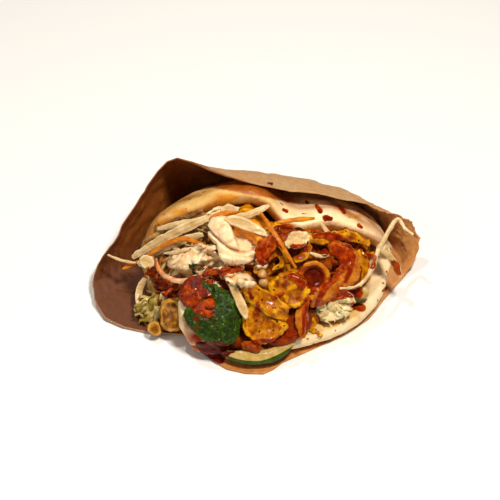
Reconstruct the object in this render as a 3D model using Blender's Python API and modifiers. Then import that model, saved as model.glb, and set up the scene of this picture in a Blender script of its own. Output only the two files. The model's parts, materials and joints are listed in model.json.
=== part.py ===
"""Stuffed pita sandwich lying in an opened kraft-paper pocket.

Metres, +Z up. The base of the paper lies on Z = 0 and the mouth of the pita faces -Y and up.
Shapes are worked out in millimetres and scaled once, in add_object.
"""
import math

import bmesh
import bpy
from mathutils import Vector, noise

MM = 0.001
GAP = 0.38                    # clearance that a carved piece keeps to its neighbour
MERGE_ANGLE = 4.5             # degrees within which neighbouring faces become one
SHIFT = Vector((3.6, 9.9, 0.0))   # brings the middle of the whole object's base to the origin

# The mouth plane: u runs along X, w up the plane, d out of the mouth.
MOUTH_LEAN = math.radians(48.0)
MOUTH_CENTRE = Vector((0.0, -37.3, 44.5))
MOUTH_UP = Vector((0.0, math.sin(MOUTH_LEAN), math.cos(MOUTH_LEAN)))
MOUTH_OUT = Vector((0.0, -math.cos(MOUTH_LEAN), math.sin(MOUTH_LEAN)))
TABLE_CLEARANCE = 6.0         # pieces that spill over the rim stay this high

# Pita
BREAD = 13.0                  # thickness of one layer of bread
CORNER_THINNING = 0.60        # of that thickness, at the mouth's corners
BREAD_X = 3.5                 # the bread's middle lies right of the mouth frame's
HALF_LENGTH = 86.0            # from the middle to a mouth corner
CORNER_Y = 4.0
FRONT_REACH = 77.5            # bottom rim, in front of the corners
BACK_REACH = 59.0             # fold at the back, behind the corners
CORNER_GAPE = 11.5            # height from bottom to top rim at a corner
GAPE = 44.5                   # and how much more it is at the middle
CROWN_RISE = 9.0              # extra height of the top rim's crown
CROWN_X = -16.0
CROWN_WIDTH = 30.0
SLUMP = 8.5                   # how far the top rim sags down the mouth, right of the crown
TEAR_SLUMP = 9.0              # and how much more where the crown's crust ends
TEAR_X = 22.0
TEAR_WIDTH = 17.0
TOP_STEPS = 5                 # points up the top bread
FOLD_INDEX = 4                # the fold's place among the points of a section
TOP_BULGE = 5.5               # how far the top bread bellies out
TIP = 0.6                     # how far each end's point stands beyond its last section
MOST_CLOSED = 0.88            # share of the way to the hollow's middle that bread may fill

# Paper
PAPER = 0.8
PAPER_RINGS = 5
BED = PAPER + GAP             # the height on which the bread lies


def clear_scene():
    for old in list(bpy.data.objects):
        bpy.data.objects.remove(old)


def mouth(u, w, d):
    return MOUTH_CENTRE + Vector((u, 0.0, 0.0)) + MOUTH_UP * w + MOUTH_OUT * d


def heap_front(u, w=0.0):
    """How far out of the mouth plane the filling stands at u, w."""
    across = min(abs(u) / 88.0, 1.02)
    bulge = 7.0 - 41.0 * across * across - 5.0 * (w / 60.0) ** 2
    table = (TABLE_CLEARANCE - MOUTH_CENTRE.z - w * MOUTH_UP.z) / MOUTH_OUT.z
    return max(bulge, table)


def on_heap(points, lift=0.0):
    """Mouth-plane points laid on the filling's front, each (u, w) or (u, w, extra lift)."""
    laid = []
    for point in points:
        u, w = point[0], point[1]
        extra = point[2] if len(point) > 2 else 0.0
        laid.append(mouth(u, w, heap_front(u, w) + lift + extra))
    return laid


def smooth_path(points, steps, closed=False):
    """Catmull-Rom curve through the points."""
    count = len(points)
    path = []
    spans = count if closed else count - 1
    for i in range(spans):
        if closed:
            a, b, c, e = (points[(i + k) % count] for k in (-1, 0, 1, 2))
        else:
            a, b = points[max(i - 1, 0)], points[i]
            c, e = points[i + 1], points[min(i + 2, count - 1)]
        for k in range(steps):
            t = k / steps
            path.append(
                0.5 * (2 * b + (c - a) * t + (2 * a - 5 * b + 4 * c - e) * t * t
                       + (3 * b - a - 3 * c + e) * t ** 3)
            )
    if not closed:
        path.append(points[-1].copy())
    return path


def add_object(name, vertices, faces):
    mesh = bpy.data.meshes.new(name)
    mesh.from_pydata([(v + SHIFT) * MM for v in vertices], [], faces)
    mesh.validate()
    piece = bpy.data.objects.new(name, mesh)
    pieces.objects.link(piece)
    outward(mesh)
    return piece


def outward(mesh):
    """Splits a closed mesh into triangles and turns its faces outward."""
    shape = bmesh.new()
    shape.from_mesh(mesh)
    bmesh.ops.triangulate(shape, faces=shape.faces)
    bmesh.ops.recalc_face_normals(shape, faces=shape.faces)
    if shape.calc_volume(signed=True) < 0:
        bmesh.ops.reverse_faces(shape, faces=shape.faces)
    shape.to_mesh(mesh)
    shape.free()


def centroid(points):
    return sum(points, Vector()) / len(points)


def loft(name, sections, hub_of=centroid):
    """A closed skin over sections of equal point count, with a fan of faces at each end."""
    count = len(sections[0])
    vertices = [point for section in sections for point in section]
    faces = []
    for i in range(len(sections) - 1):
        for k in range(count):
            a, b = i * count + k, i * count + (k + 1) % count
            faces.append((a, b, b + count, a + count))
    for first, section in ((0, sections[0]), ((len(sections) - 1) * count, sections[-1])):
        hub = len(vertices)
        vertices.append(hub_of(section))
        for k in range(count):
            faces.append((first + k, first + (k + 1) % count, hub))
    return add_object(name, vertices, faces)


def oval(centre, side, face, width, thickness, sides):
    ring = []
    for k in range(sides):
        angle = math.tau * (k + 0.5) / sides
        ring.append(centre + side * (0.5 * width * math.cos(angle))
                    + face * (0.5 * thickness * math.sin(angle)))
    return ring


def strip(name, points, width, thickness, steps=3, sides=6, twist=0.0, taper=0.55, face=None):
    """A shred: a flat strip swept along a smooth path, narrowed at both ends."""
    path = smooth_path(points, steps)
    sections = []
    last = len(path) - 1
    for i, centre in enumerate(path):
        along = (path[min(i + 1, last)] - path[max(i - 1, 0)]).normalized()
        side = along.cross(face or MOUTH_OUT).normalized()
        out = side.cross(along)
        turn = math.radians(twist) * i / last
        side, out = (side * math.cos(turn) + out * math.sin(turn),
                     out * math.cos(turn) - side * math.sin(turn))
        narrow = taper + (1 - taper) * min(1.0, 3.0 * min(i, last - i) / last)
        sections.append(oval(centre, side, out, width * narrow, thickness * narrow, sides))
    return loft(name, sections)


def slab(name, outline, thickness, lift=0.0, lean=(0.0, 0.0), wave=0.0, dish=0.0, seed=0,
         steps=2, ragged=0.0, grain=11.0):
    """A slice or leaf: a rounded plate over a star-shaped outline on the mouth plane.

    lean tips it along u and w, wave ripples it, dish sinks its middle and ragged eats its edge.
    """
    corners = [Vector((u, w, 0.0)) for u, w in outline]
    rim = smooth_path(corners, steps, closed=True)
    middle = sum(corners, Vector()) / len(corners)
    reach = max((point - middle).length for point in rim)
    base = heap_front(middle.x, middle.y) + lift

    def lay(shrink, level):
        ring = []
        for k, point in enumerate(rim):
            bite = 1.0 + ragged * noise.noise(Vector((k * 0.9, seed, 0.0)))
            flat = middle + (point - middle) * shrink * bite
            ripple = wave * noise.noise(Vector((flat.x / grain, flat.y / grain, seed)))
            sunk = dish * (1 - ((flat - middle).length / reach) ** 2)
            depth = (base + lean[0] * (flat.x - middle.x) + lean[1] * (flat.y - middle.y)
                     + ripple - sunk + level * thickness)
            ring.append(mouth(flat.x, flat.y, depth))
        return ring

    rings = [lay(shrink, level) for shrink, level in (
        (0.45, -0.5), (0.88, -0.46), (1.0, -0.12), (1.0, 0.16), (0.88, 0.46), (0.45, 0.5))]
    return loft(name, rings)


def blob(name, centre, radii, bumps=0.12, seed=0, fineness=3, turn=0.0, grain=0.9):
    """A rounded lump with its own axes on the mouth plane, its skin pushed in and out by noise."""
    shape = bmesh.new()
    bmesh.ops.create_icosphere(shape, subdivisions=fineness, radius=1.0)
    u, w, d = centre
    cosine, sine = math.cos(math.radians(turn)), math.sin(math.radians(turn))
    vertices = []
    for vertex in shape.verts:
        way = vertex.co
        size = 1.0 + bumps * noise.noise(way / grain + Vector((seed, seed * 1.7, 0.0)))
        a, b = way.x * radii[0] * size, way.y * radii[1] * size
        vertices.append(mouth(u + a * cosine - b * sine, w + a * sine + b * cosine,
                              d + way.z * radii[2] * size))
    faces = [[vertex.index for vertex in face.verts] for face in shape.faces]
    shape.free()
    return add_object(name, vertices, faces)


def apply_boolean(target, operation, other, solver="EXACT"):
    """The mesh that the Boolean gives, with target left as it was."""
    modifier = target.modifiers.new("Cut", "BOOLEAN")
    modifier.operation = operation
    modifier.solver = solver
    if isinstance(other, bpy.types.Collection):
        modifier.operand_type = "COLLECTION"
        modifier.collection = other
    else:
        modifier.object = other
    graph = bpy.context.evaluated_depsgraph_get()
    mesh = bpy.data.meshes.new_from_object(target.evaluated_get(graph))
    target.modifiers.remove(modifier)
    return mesh


def largest_island(mesh):
    """Welds slivers and drops every loose scrap but the largest. False if no closed body is left."""
    shape = bmesh.new()
    shape.from_mesh(mesh)
    bmesh.ops.triangulate(shape, faces=shape.faces)
    bmesh.ops.remove_doubles(shape, verts=shape.verts, dist=0.02 * MM)
    bmesh.ops.dissolve_degenerate(shape, edges=shape.edges, dist=0.01 * MM)
    bmesh.ops.triangulate(shape, faces=shape.faces)
    left = set(shape.verts)
    islands = []
    while left:
        queue = [left.pop()]
        island = set(queue)
        while queue:
            for edge in queue.pop().link_edges:
                for vertex in edge.verts:
                    if vertex in left:
                        left.discard(vertex)
                        island.add(vertex)
                        queue.append(vertex)
        islands.append(island)
    if islands:
        def span(island):
            return sum(face.calc_area() for face in
                       {face for vertex in island for face in vertex.link_faces})
        keep = max(islands, key=span)
        scraps = [vertex for vertex in shape.verts if vertex not in keep]
        bmesh.ops.delete(shape, geom=scraps, context="VERTS")
    closed = bool(shape.faces) and all(edge.is_manifold for edge in shape.edges)
    shape.to_mesh(mesh)
    shape.free()
    return closed


def set_mesh(piece, mesh):
    old = piece.data
    piece.data = mesh
    bpy.data.meshes.remove(old)
    mesh.name = piece.name


def combine(piece, operation, other):
    """Applies the Boolean, with the MANIFOLD solver where EXACT leaves an open mesh."""
    for solver in ("EXACT", "MANIFOLD"):
        mesh = apply_boolean(piece, operation, other, solver)
        if largest_island(mesh):
            set_mesh(piece, mesh)
            return
        bpy.data.meshes.remove(mesh)
    raise RuntimeError(f"{piece.name}: no closed body after {operation} with {other.name}")


def fuse(piece, others):
    """Joins the others into the piece and removes them."""
    group = bpy.data.collections.new("fused")
    bpy.context.scene.collection.children.link(group)
    for other in others:
        group.objects.link(other)
        pieces.objects.unlink(other)
    combine(piece, "UNION", group)
    for other in others:
        bpy.data.objects.remove(other)
    bpy.data.collections.remove(group)
    return piece


def swollen(piece, gap):
    """A copy of the piece, larger by the gap on every side, to carve its neighbours with."""
    cutter = bpy.data.objects.new(piece.name + "_room", piece.data.copy())
    cutters.objects.link(cutter)
    cutter.display_type = "WIRE"
    shape = bmesh.new()
    shape.from_mesh(cutter.data)
    shape.normal_update()
    moves = [vertex.normal * (min(vertex.calc_shell_factor(), 1.8) * gap * MM)
             for vertex in shape.verts]
    for vertex, move in zip(shape.verts, moves):
        vertex.co += move
    shape.to_mesh(cutter.data)
    shape.free()
    return cutter


def box_of(piece):
    corners = [vertex.co for vertex in piece.data.vertices]
    return ([min(c[i] for c in corners) for i in range(3)],
            [max(c[i] for c in corners) for i in range(3)])


def near(a, b, margin=0.001):
    (low_a, high_a), (low_b, high_b) = box_of(a), box_of(b)
    return all(low_a[i] < high_b[i] + margin and low_b[i] < high_a[i] + margin
               for i in range(3))


def carve_in_turn(ordered, made_rooms):
    """Each piece gives way to all that come before it in the list."""
    rooms = []
    for piece in ordered:
        for fixed, room in rooms:
            if near(piece, fixed):
                combine(piece, "DIFFERENCE", room)
        rooms.append((piece, made_rooms.get(piece.name) or swollen(piece, GAP)))
    for _, room in rooms:
        bpy.data.objects.remove(room)


def merge_flat_faces(piece, angle):
    """Merges faces within the angle of each other, where the body stays closed and as large."""
    shape = bmesh.new()
    shape.from_mesh(piece.data)
    before = shape.calc_volume(signed=True)
    bmesh.ops.dissolve_limit(shape, angle_limit=math.radians(angle), verts=shape.verts,
                             edges=shape.edges)
    bmesh.ops.triangulate(shape, faces=shape.faces)
    closed = all(edge.is_manifold for edge in shape.edges)
    if closed and abs(shape.calc_volume(signed=True) / before - 1) < 0.02:
        shape.to_mesh(piece.data)
    shape.free()


# ---------------------------------------------------------------- bread

def pita_ring(along, margin):
    """One cross-section of the pita, a fold of bread open at the mouth.

    along runs from -90 to 90 degrees, and margin is added to both faces of the bread.
    """
    x = BREAD_X + HALF_LENGTH * math.sin(along)
    reach = math.cos(along)
    local = BREAD / 2 * (CORNER_THINNING + (1 - CORNER_THINNING) * min(1.0, reach / 0.5))
    half = local + margin
    crown = CROWN_RISE * math.exp(-((x - CROWN_X) / CROWN_WIDTH) ** 2)
    floor = BED + local
    front = Vector((x, CORNER_Y - FRONT_REACH * reach, floor + 1.5 * reach))
    fold = Vector((x, CORNER_Y + BACK_REACH * reach, floor + 3.0))
    top = Vector((x, CORNER_Y + 2.0 * reach, floor + CORNER_GAPE + (GAPE + crown) * reach))
    right = min(1.0, max(0.0, x / 20.0))
    sag = (SLUMP * right * right * (3 - 2 * right)
           + TEAR_SLUMP * math.exp(-((x - TEAR_X) / TEAR_WIDTH) ** 2))
    top -= MOUTH_UP * (sag * min(1.0, reach / 0.5))
    back_up = Vector((0.0, 0.74, 0.67))
    belly = (fold + top) / 2 + back_up * (2 * TOP_BULGE * reach)
    flat_front = front + Vector((0.0, 12.0 * reach, -1.5 * reach))
    flat_back = Vector((x, fold.y - 15.0 * reach, floor))

    spine = [front, flat_front, (flat_front + flat_back) / 2, flat_back, fold]
    for i in range(1, TOP_STEPS + 1):
        t = i / TOP_STEPS
        spine.append(fold * (1 - t) ** 2 + belly * (2 * t * (1 - t)) + top * t * t)

    # The hollow closes on a line from the middle of the mouth to the fold, and never crosses it.
    hollow = (front + top) / 2
    into = hollow - fold
    inmost = fold + into * min(0.6, 2.2 * half / into.length)
    last = len(spine) - 1
    outer, inner = [], []
    for i, point in enumerate(spine):
        way = spine[min(i + 1, last)] - spine[max(i - 1, 0)]
        side = Vector((0.0, -way.z, way.y)).normalized()
        skin = point - side * half
        outer.append(skin)
        if i in (0, last):
            inner.append(point + side * half)
            continue
        deep = i / FOLD_INDEX if i < FOLD_INDEX else (last - i) / (last - FOLD_INDEX)
        across = hollow.lerp(inmost, deep) - skin
        inner.append(skin + across * min(MOST_CLOSED, 2 * half / across.length))

    def nose(point, way):
        """Three points round a cut rim."""
        side = Vector((0.0, -way.z, way.y))
        return [point + (way * math.cos(a) + side * math.sin(a)) * half
                for a in (math.radians(-45), 0.0, math.radians(45))]

    start = nose(front, (spine[0] - spine[1]).normalized())
    finish = nose(top, (spine[-1] - spine[-2]).normalized())
    return outer + finish + inner[::-1] + start


def make_pita(name="pita", margin=0.0):
    def fold_middle(ring):
        bends = (len(ring) - 6) // 2
        return (ring[FOLD_INDEX] + ring[2 * bends + 2 - FOLD_INDEX]) / 2

    def tip(ring):
        """The point that closes an end, a little beyond its last section."""
        return fold_middle(ring) + Vector((math.copysign(TIP, ring[0].x), 0.0, 0.0))

    steps = 22
    widest = math.radians(83.5)
    rings = [pita_ring(-widest + 2 * widest * i / steps, margin) for i in range(steps + 1)]
    for end, way in ((0, -1), (-1, 1)):
        ring = rings[end]
        middle = fold_middle(ring)
        for shrink, out in ((0.86, 1.3), (0.5, 2.6)):
            step = Vector((way * (out + margin * out / 2.6), 0.0, 0.0))
            smaller = [middle + (point - middle) * shrink + step for point in ring]
            if end == 0:
                rings.insert(0, smaller)
            else:
                rings.append(smaller)
    return loft(name, rings, tip)


# ---------------------------------------------------------------- paper

# Stations round the sheet, clockwise from the front: where it leaves the table (x, y), its free
# edge (x, y, z), and how far it bellies out between the two.
PAPER_STATIONS = (
    ((0, -68), (1, -95, 0), 0),
    ((-22, -66), (-24, -91, 0.5), 0),
    ((-42, -58), (-45, -73, 1.5), 0),
    ((-58, -46), (-55, -62, 2.5), 0),
    ((-74, -32), (-82, -58, 1.0), 0),
    ((-87, -16), (-109, -47, 3.0), 0),
    ((-92, 0), (-119, -19, 9.0), -3),
    ((-90, 20), (-108, -1, 25.0), 6),
    ((-79, 38), (-89, 20, 45.0), 12),
    ((-65, 52), (-73, 39, 61.0), 16),
    ((-50, 62), (-59, 44, 69.0), 18),
    ((-32, 70), (-36, 24, 78.0), 21),
    ((-12, 74.5), (-12, 13, 78.0), 24),
    ((14, 74.5), (14, 13, 70.5), 24),
    ((38, 68), (38, 13, 66.0), 22),
    ((60, 57), (61, 13, 60.0), 19),
    ((79, 41), (82, 14, 50.0), 14),
    ((92, 24), (99, 15, 40.0), 8),
    ((98, 12), (111, 17, 28.0), 3),
    ((99, 3), (112, 6, 13.0), 0),
    ((93, -12), (98, -10, 1.0), 0),
    ((82, -26), (84, -30, 0), 0),
    ((68, -42), (74, -46, 0), 0),
    ((48, -56), (56, -60, 0), 0),
    ((28, -66), (28, -77, 0), 0),
    ((12, -69), (14, -85, 0), 0),
)
PAPER_CRUMPLE = 1.1


def paper_surface():
    """Rows of points from the middle of the base out to the free edge, one row to each spoke."""
    steps = 2
    seats = smooth_path([Vector((s[0][0], s[0][1], 0.0)) for s in PAPER_STATIONS], steps, True)
    edges = smooth_path([Vector(s[1]) for s in PAPER_STATIONS], steps, True)
    bellies = smooth_path([Vector((s[2], 0.0, 0.0)) for s in PAPER_STATIONS], steps, True)
    rows = []
    for seat, edge, belly in zip(seats, edges, bellies):
        edge = Vector((edge.x, edge.y, max(edge.z, 0.0)))
        out = Vector((seat.x, seat.y, 0.0)).normalized() * 0.85 + Vector((0.0, 0.0, 0.53))
        control = (seat + edge) / 2 + out * belly.x
        row = [seat * 0.5, seat * 0.8]
        for i in range(PAPER_RINGS + 1):
            t = i / PAPER_RINGS
            point = seat * (1 - t) ** 2 + control * (2 * t * (1 - t)) + edge * t * t
            lift = min(1.0, point.z / 25.0)
            crease = noise.noise(point / 17.0) * PAPER_CRUMPLE * lift
            point = point + Vector((seat.x, seat.y, 0.0)).normalized() * crease
            point.z = max(point.z, 0.0)
            row.append(point)
        rows.append(row)
    return rows


def make_paper():
    rows = paper_surface()
    count = len(rows[0])
    vertices = [Vector((0.0, 0.0, 0.0))]
    for row in rows:
        vertices.extend(row)
    faces = []
    for i in range(len(rows)):
        a, b = 1 + i * count, 1 + ((i + 1) % len(rows)) * count
        faces.append((0, b, a))
        for k in range(count - 1):
            faces.append((a + k, b + k, b + k + 1, a + k + 1))
    mesh = bpy.data.meshes.new("paper_wrap")
    mesh.from_pydata([(v + SHIFT) * MM for v in vertices], [], faces)
    paper = bpy.data.objects.new("paper_wrap", mesh)
    pieces.objects.link(paper)
    shape = bmesh.new()
    shape.from_mesh(mesh)
    bmesh.ops.recalc_face_normals(shape, faces=shape.faces)
    hub = min(shape.faces, key=lambda face: face.calc_center_median().length)
    if hub.normal.z < 0:
        bmesh.ops.reverse_faces(shape, faces=shape.faces)
    bmesh.ops.triangulate(shape, faces=shape.faces)
    shape.to_mesh(mesh)
    shape.free()
    solidify = paper.modifiers.new("Thickness", "SOLIDIFY")
    solidify.thickness = PAPER * MM
    solidify.offset = 1.0
    graph = bpy.context.evaluated_depsgraph_get()
    set_mesh(paper, bpy.data.meshes.new_from_object(paper.evaluated_get(graph)))
    paper.modifiers.clear()
    for vertex in paper.data.vertices:
        vertex.co.z = max(vertex.co.z, 0.0)
    return paper


# ---------------------------------------------------------------- filling

def make_egg():
    return blob("egg_half", (-34, -31, heap_front(-34, -31) + 3), (18.5, 23, 10), 0.05, 3, 2)


def make_garlic_sauce():
    low = blob("garlic_sauce", (-16, 15, 12), (15.0, 13.5, 8.0), 0.10, 5)
    high = blob("lobe", (-27, 25, 9), (10.5, 10.5, 8), 0.22, 9, 2)
    return fuse(low, [high])


def make_sauces():
    zhug = slab("green_sauce", ((-37, -9), (-27, -12), (-18, -21), (-14, -34), (-15, -48),
                                (-24, -54), (-34, -52), (-44, -47), (-53, -36), (-54, -28),
                                (-47, -24), (-41, -17)),
                4.2, lift=12.0, lean=(-0.04, -0.02), wave=2.4, dish=-4.5, seed=4, ragged=0.10)
    chili = slab("chili_sauce", ((-57, -17), (-52, -8), (-43, -5), (-34, -9), (-32, -18),
                                 (-30, -28), (-36, -32), (-45, -31), (-53, -26)),
                 4.0, lift=14.0, lean=(0.10, 0.0), wave=2.0, dish=-3.5, seed=6, ragged=0.12)
    lump = blob("chili_lump", (-36, -24, heap_front(-36, -24) + 18.0), (4.4, 3.8, 3.2), 0.25, 2, 2)
    streak = strip("chili_streak", on_heap(((-41, -5), (-31, -2), (-22, -2.5), (-12, 0)), 8.5),
                   6.5, 3.2)
    return [lump, chili, zhug, streak]


def make_chicken():
    flap = slab("chicken_flap", ((-16, -8), (-6, -10), (5, -16), (14, -22), (19, -30),
                                 (17, -37), (8, -35), (-2, -29), (-9, -22), (-14, -14)),
                4.6, lift=12.0, lean=(0.05, 0.16), wave=3.0, seed=17, ragged=0.10, grain=9.0)
    front = slab("chicken_front", ((-11, -26), (-3, -25), (7, -27), (15, -33), (17, -40),
                                   (12, -45), (2, -52), (-8, -48), (-13, -38)),
                 6.0, lift=7.0, lean=(0.12, 0.05), wave=4.0, seed=11, ragged=0.14, grain=9.0)
    middle = slab("chicken_middle", ((5, -11), (12, -3), (22, -3), (29, -10), (31, -21),
                                     (22, -27), (12, -25), (7, -19)),
                  6.0, lift=9.0, lean=(0.1, 0.25), wave=4.5, seed=12, ragged=0.12)
    roll = strip("chicken_roll", on_heap(((-4, -4), (1, 2), (4, 8), (10, 11), (14, 8), (13, 2),
                                          (7, -1)), 7.0), 9.0, 4.0, steps=2, twist=50)
    ring = strip("chicken_ring", on_heap(((14, 9), (14, 16), (19, 20), (26, 19), (30, 14),
                                          (28, 8), (22, 5)), 5.5), 9.0, 3.6, steps=2, twist=-30)
    curl = slab("chicken_curl", [(35 + 11.5 * math.cos(a), -7 + 11.5 * math.sin(a))
                                 for a in (math.tau * i / 9 for i in range(9))],
                4.0, lift=9.0, lean=(-0.3, 0.1), dish=5.5, wave=1.2, seed=13)
    glazed = strip("chicken_glazed", on_heap(((46, 13, 1), (55, 12, 4), (61, 4, 5), (58, -6, 4),
                                              (50, -14, 3), (41, -20, 2), (33, -22, 0)), 6.0),
                   16.0, 6.0, steps=2, sides=8, twist=35, taper=0.6)
    long = strip("chicken_long", on_heap(((25, 22, 2), (36, 20, 3), (48, 21, 2), (60, 22, 0),
                                          (74, 17, 0)), 3.0), 9.0, 5.0, twist=25)
    edge = strip("chicken_edge", on_heap(((67, 12, 2), (71, 3, 3), (72, -6, 3), (69, -13, 2)),
                                         3.0), 7.0, 4.5, steps=3)
    drip = strip("chicken_drip", on_heap(((33, -16), (28, -25), (26, -37, 2), (28, -48, 4)),
                                         8.0), 8.5, 4.2, steps=3, taper=0.4)
    scrap = blob("chicken_scrap", (-8, -53, 8.5), (7.5, 3.6, 4.5), 0.4, 21, 2, -15)
    sauced = blob("sauced_scrap", (-35, -53.5, heap_front(-35, -53) + 4.0), (13, 5.5, 5), 0.25, 22, 2)
    return [flap, front, curl, middle, roll, ring, glazed, drip, edge, long, scrap, sauced]


def make_vegetables():
    tomato = slab("tomato_slice", ((4, -52), (5, -43), (13, -34), (24, -28), (33, -30), (34, -38),
                                   (28, -46), (16, -53)),
                  6.5, lift=2.0, lean=(0.05, -0.2), seed=31, wave=0.8)
    cucumber = strip("cucumber_slice", on_heap(((-28, -57.5), (-19, -60), (-7, -61), (5, -60),
                                                (16, -55), (24, -47)), 4.5),
                     10.5, 5.0, steps=2, sides=8, taper=0.25)
    potato = slab("potato_1", ((-69, -23), (-58, -22), (-54, -31), (-54, -41), (-63, -44),
                               (-70, -39)), 9.0, lift=7.0, wave=1.5, seed=33, lean=(0.2, 0.0))
    potato_end = slab("potato_2", ((-77, -37), (-71, -37), (-69, -45), (-74, -47), (-79, -43)),
                      6.0, lift=3.0, wave=1.0, seed=34)
    carrot_chunk = slab("carrot_chunk", ((-19, 29), (-5, 30), (2, 24), (-5, 19), (-16, 17)),
                        6.0, lift=3.5, wave=1.5, seed=35, lean=(0.0, -0.3))
    rib = slab("cabbage_rib", ((-27, 33), (-19, 36), (-9, 33), (2, 26), (7, 20), (-3, 23),
                               (-14, 26.5)), 3.4, lift=9.0, wave=1.5, seed=36)
    leaf = slab("cabbage_leaf", ((15, 15), (17, 22), (25, 26), (33, 22), (29, 15), (22, 13)),
                2.2, lift=12.0, wave=2.5, seed=37, lean=(0.0, -0.2))
    flake = slab("sauced_flake", ((-4, 5), (-5, 13), (2, 21), (10, 23), (9, 13), (1, 4)),
                 2.8, lift=11.0, wave=2.0, seed=38, lean=(0.25, 0.1))
    white_rib = slab("white_rib", ((-25, -7), (-20, -9), (-13, -19), (-9, -30), (-11, -35),
                                   (-16, -29), (-20, -18)), 4.5, lift=10.0, wave=0.6, seed=39)
    lettuce_left = slab("lettuce_left", ((-85, -24), (-77, -20), (-70, -25), (-70, -34),
                                         (-78, -38), (-84, -34)),
                        2.2, lift=5.0, wave=4.5, seed=40, ragged=0.25, grain=6.0)
    lettuce_right = slab("lettuce_right", ((38, -20), (48, -15), (60, -15), (63, -24), (56, -33),
                                           (44, -37), (37, -30)),
                         2.6, lift=5.5, wave=6.5, seed=41, ragged=0.22, grain=7.0)
    pickle = slab("pickle", ((58, -14), (66, -11), (74, -14), (73, -20), (65, -24), (58, -20)),
                  4.0, lift=4.0, wave=2.0, seed=42)
    flat = slab("cabbage_flat", ((-38, 37), (-30, 42), (-18, 43), (-16, 39), (-27, 37)),
                2.2, lift=3.5, wave=1.0, seed=43)
    stub = slab("onion_stub", ((-85, 3), (-82, 9), (-75, 8), (-74, 1), (-80, -1)),
                6.0, lift=11.0, wave=0.6, seed=44)
    return [leaf, flake, rib, white_rib, carrot_chunk, cucumber, tomato, stub, potato, potato_end,
            lettuce_left, lettuce_right, pickle, flat]


# name, path on the filling (u, w, extra lift), lift, width, thickness, twist
SHREDS = (
    ("carrot_stick", ((-1, 38, -3), (6, 27, 3), (14, 14, 5), (23, 0, 3)), 11.0, 4.0, 3.2, 20),
    ("carrot_arc", ((-80, 8), (-66, 16), (-53, 20), (-38, 15)), 12.0, 4.2, 3.0, 30),
    ("cabbage_strip_1", ((-90, 7, 1), (-70, 19), (-49, 29), (-28, 38, -2)), 7.5, 7.5, 2.8, 10),
    ("cabbage_strip_2", ((-86, 2, 2), (-72, 12), (-55, 19), (-40, 23)), 4.5, 7.0, 2.6, -15),
    ("cabbage_strip_3", ((-72, 27), (-58, 30), (-43, 33)), 2.5, 5.0, 2.4, 20),
    ("carrot_top", ((-36, 33), (-28, 37), (-17, 38)), 7.0, 3.8, 2.8, 0),
    ("cabbage_hook", ((-20, 35), (-8, 36.5), (5, 43, -2)), 6.5, 5.5, 2.8, 15),
    ("carrot_strip", ((10, 31), (24, 33), (36, 34)), 7.0, 3.8, 3.0, 10),
    ("cabbage_thread", ((-68, 10), (-58, 11, 2), (-48, 14)), 9.5, 3.2, 2.2, 0),
    ("onion_ring", ((-73, 7), (-71, -1), (-64, -7), (-55, -9), (-45, -6), (-38, 1)), 8.0,
     4.2, 3.4, 0),
    ("radish_thread", ((-107, 9, 3), (-97, 5, 2), (-86, 3, -1)), 8.0, 2.6, 2.0, 0),
    ("carrot_tip", ((-97, -1, 2), (-91, 2, 1), (-85, 5, -1)), 5.5, 3.4, 2.4, 0),
    ("cabbage_curve", ((-80, -6), (-85, -15), (-86, -26)), 4.5, 5.5, 2.6, 25),
    ("sprout", ((53, -14), (64, -13), (71, -8, 2), (77, 2, 3), (80, 12, 3), (87, 24), (94, 34),
                (99, 27.5), (105, 23)), 13.0, 3.6, 3.0, 0),
    ("sauced_sprout", ((82, 12, 3), (88, 8, 4), (93, 1, 4), (96, -6, 3)), 12.0, 5.5, 3.0, 0),
    ("onion_strand_1", ((40, 31), (45, 24), (48, 17)), 5.0, 4.0, 2.4, 20),
    ("onion_strand_2", ((31, 11), (40, 8, 1), (47, 9)), 7.0, 3.2, 2.4, 0),
)


def make_shreds():
    made = []
    for name, path, lift, width, thickness, twist in SHREDS:
        made.append(strip(name, on_heap(path, lift), width, thickness, twist=twist))
    return made


def make_small_round():
    peas = (("chickpea_1", (0, -4), 3.6, 8.5), ("chickpea_2", (1, -10), 3.8, 8.0),
            ("onion_pearl", (-68, -19), 2.6, 6.0))
    made = [blob(name, (u, w, heap_front(u, w) + lift), (size, size, size), 0.1, 50, 2)
            for name, (u, w), size, lift in peas]
    made.append(blob("sprout_knot", (84, 12, heap_front(84, 12) + 8), (5.0, 6.0, 4.0), 0.5, 53, 2))
    return made


def tuft(name, middle, spread, count, width, core, seed):
    """Short shreds lying across each other, fused to a lump that holds them."""
    base = blob(name, core[0], core[1], 0.2, seed, 2)
    shreds = []
    for i in range(count):
        angle = math.radians(25 + 137.5 * i)
        r = spread * math.sqrt((i + 0.5) / count)
        u, w = middle[0] + 1.3 * r * math.cos(angle), middle[1] + r * math.sin(angle)
        lie = angle + 1.1 * noise.noise(Vector((i, seed, 0.0)))
        half = Vector((math.cos(lie), math.sin(lie), 0.0)) * (5.5 + 2.5 * math.sin(i * 2.1))
        points = ((u - half.x, w - half.y, -1.5), (u, w, 1.2), (u + half.x, w + half.y, -1.0))
        shreds.append(strip("shred", on_heap(points, middle[2]), width, 2.2, steps=2, sides=5,
                            twist=30 * math.sin(i)))
    return fuse(base, shreds)


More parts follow.
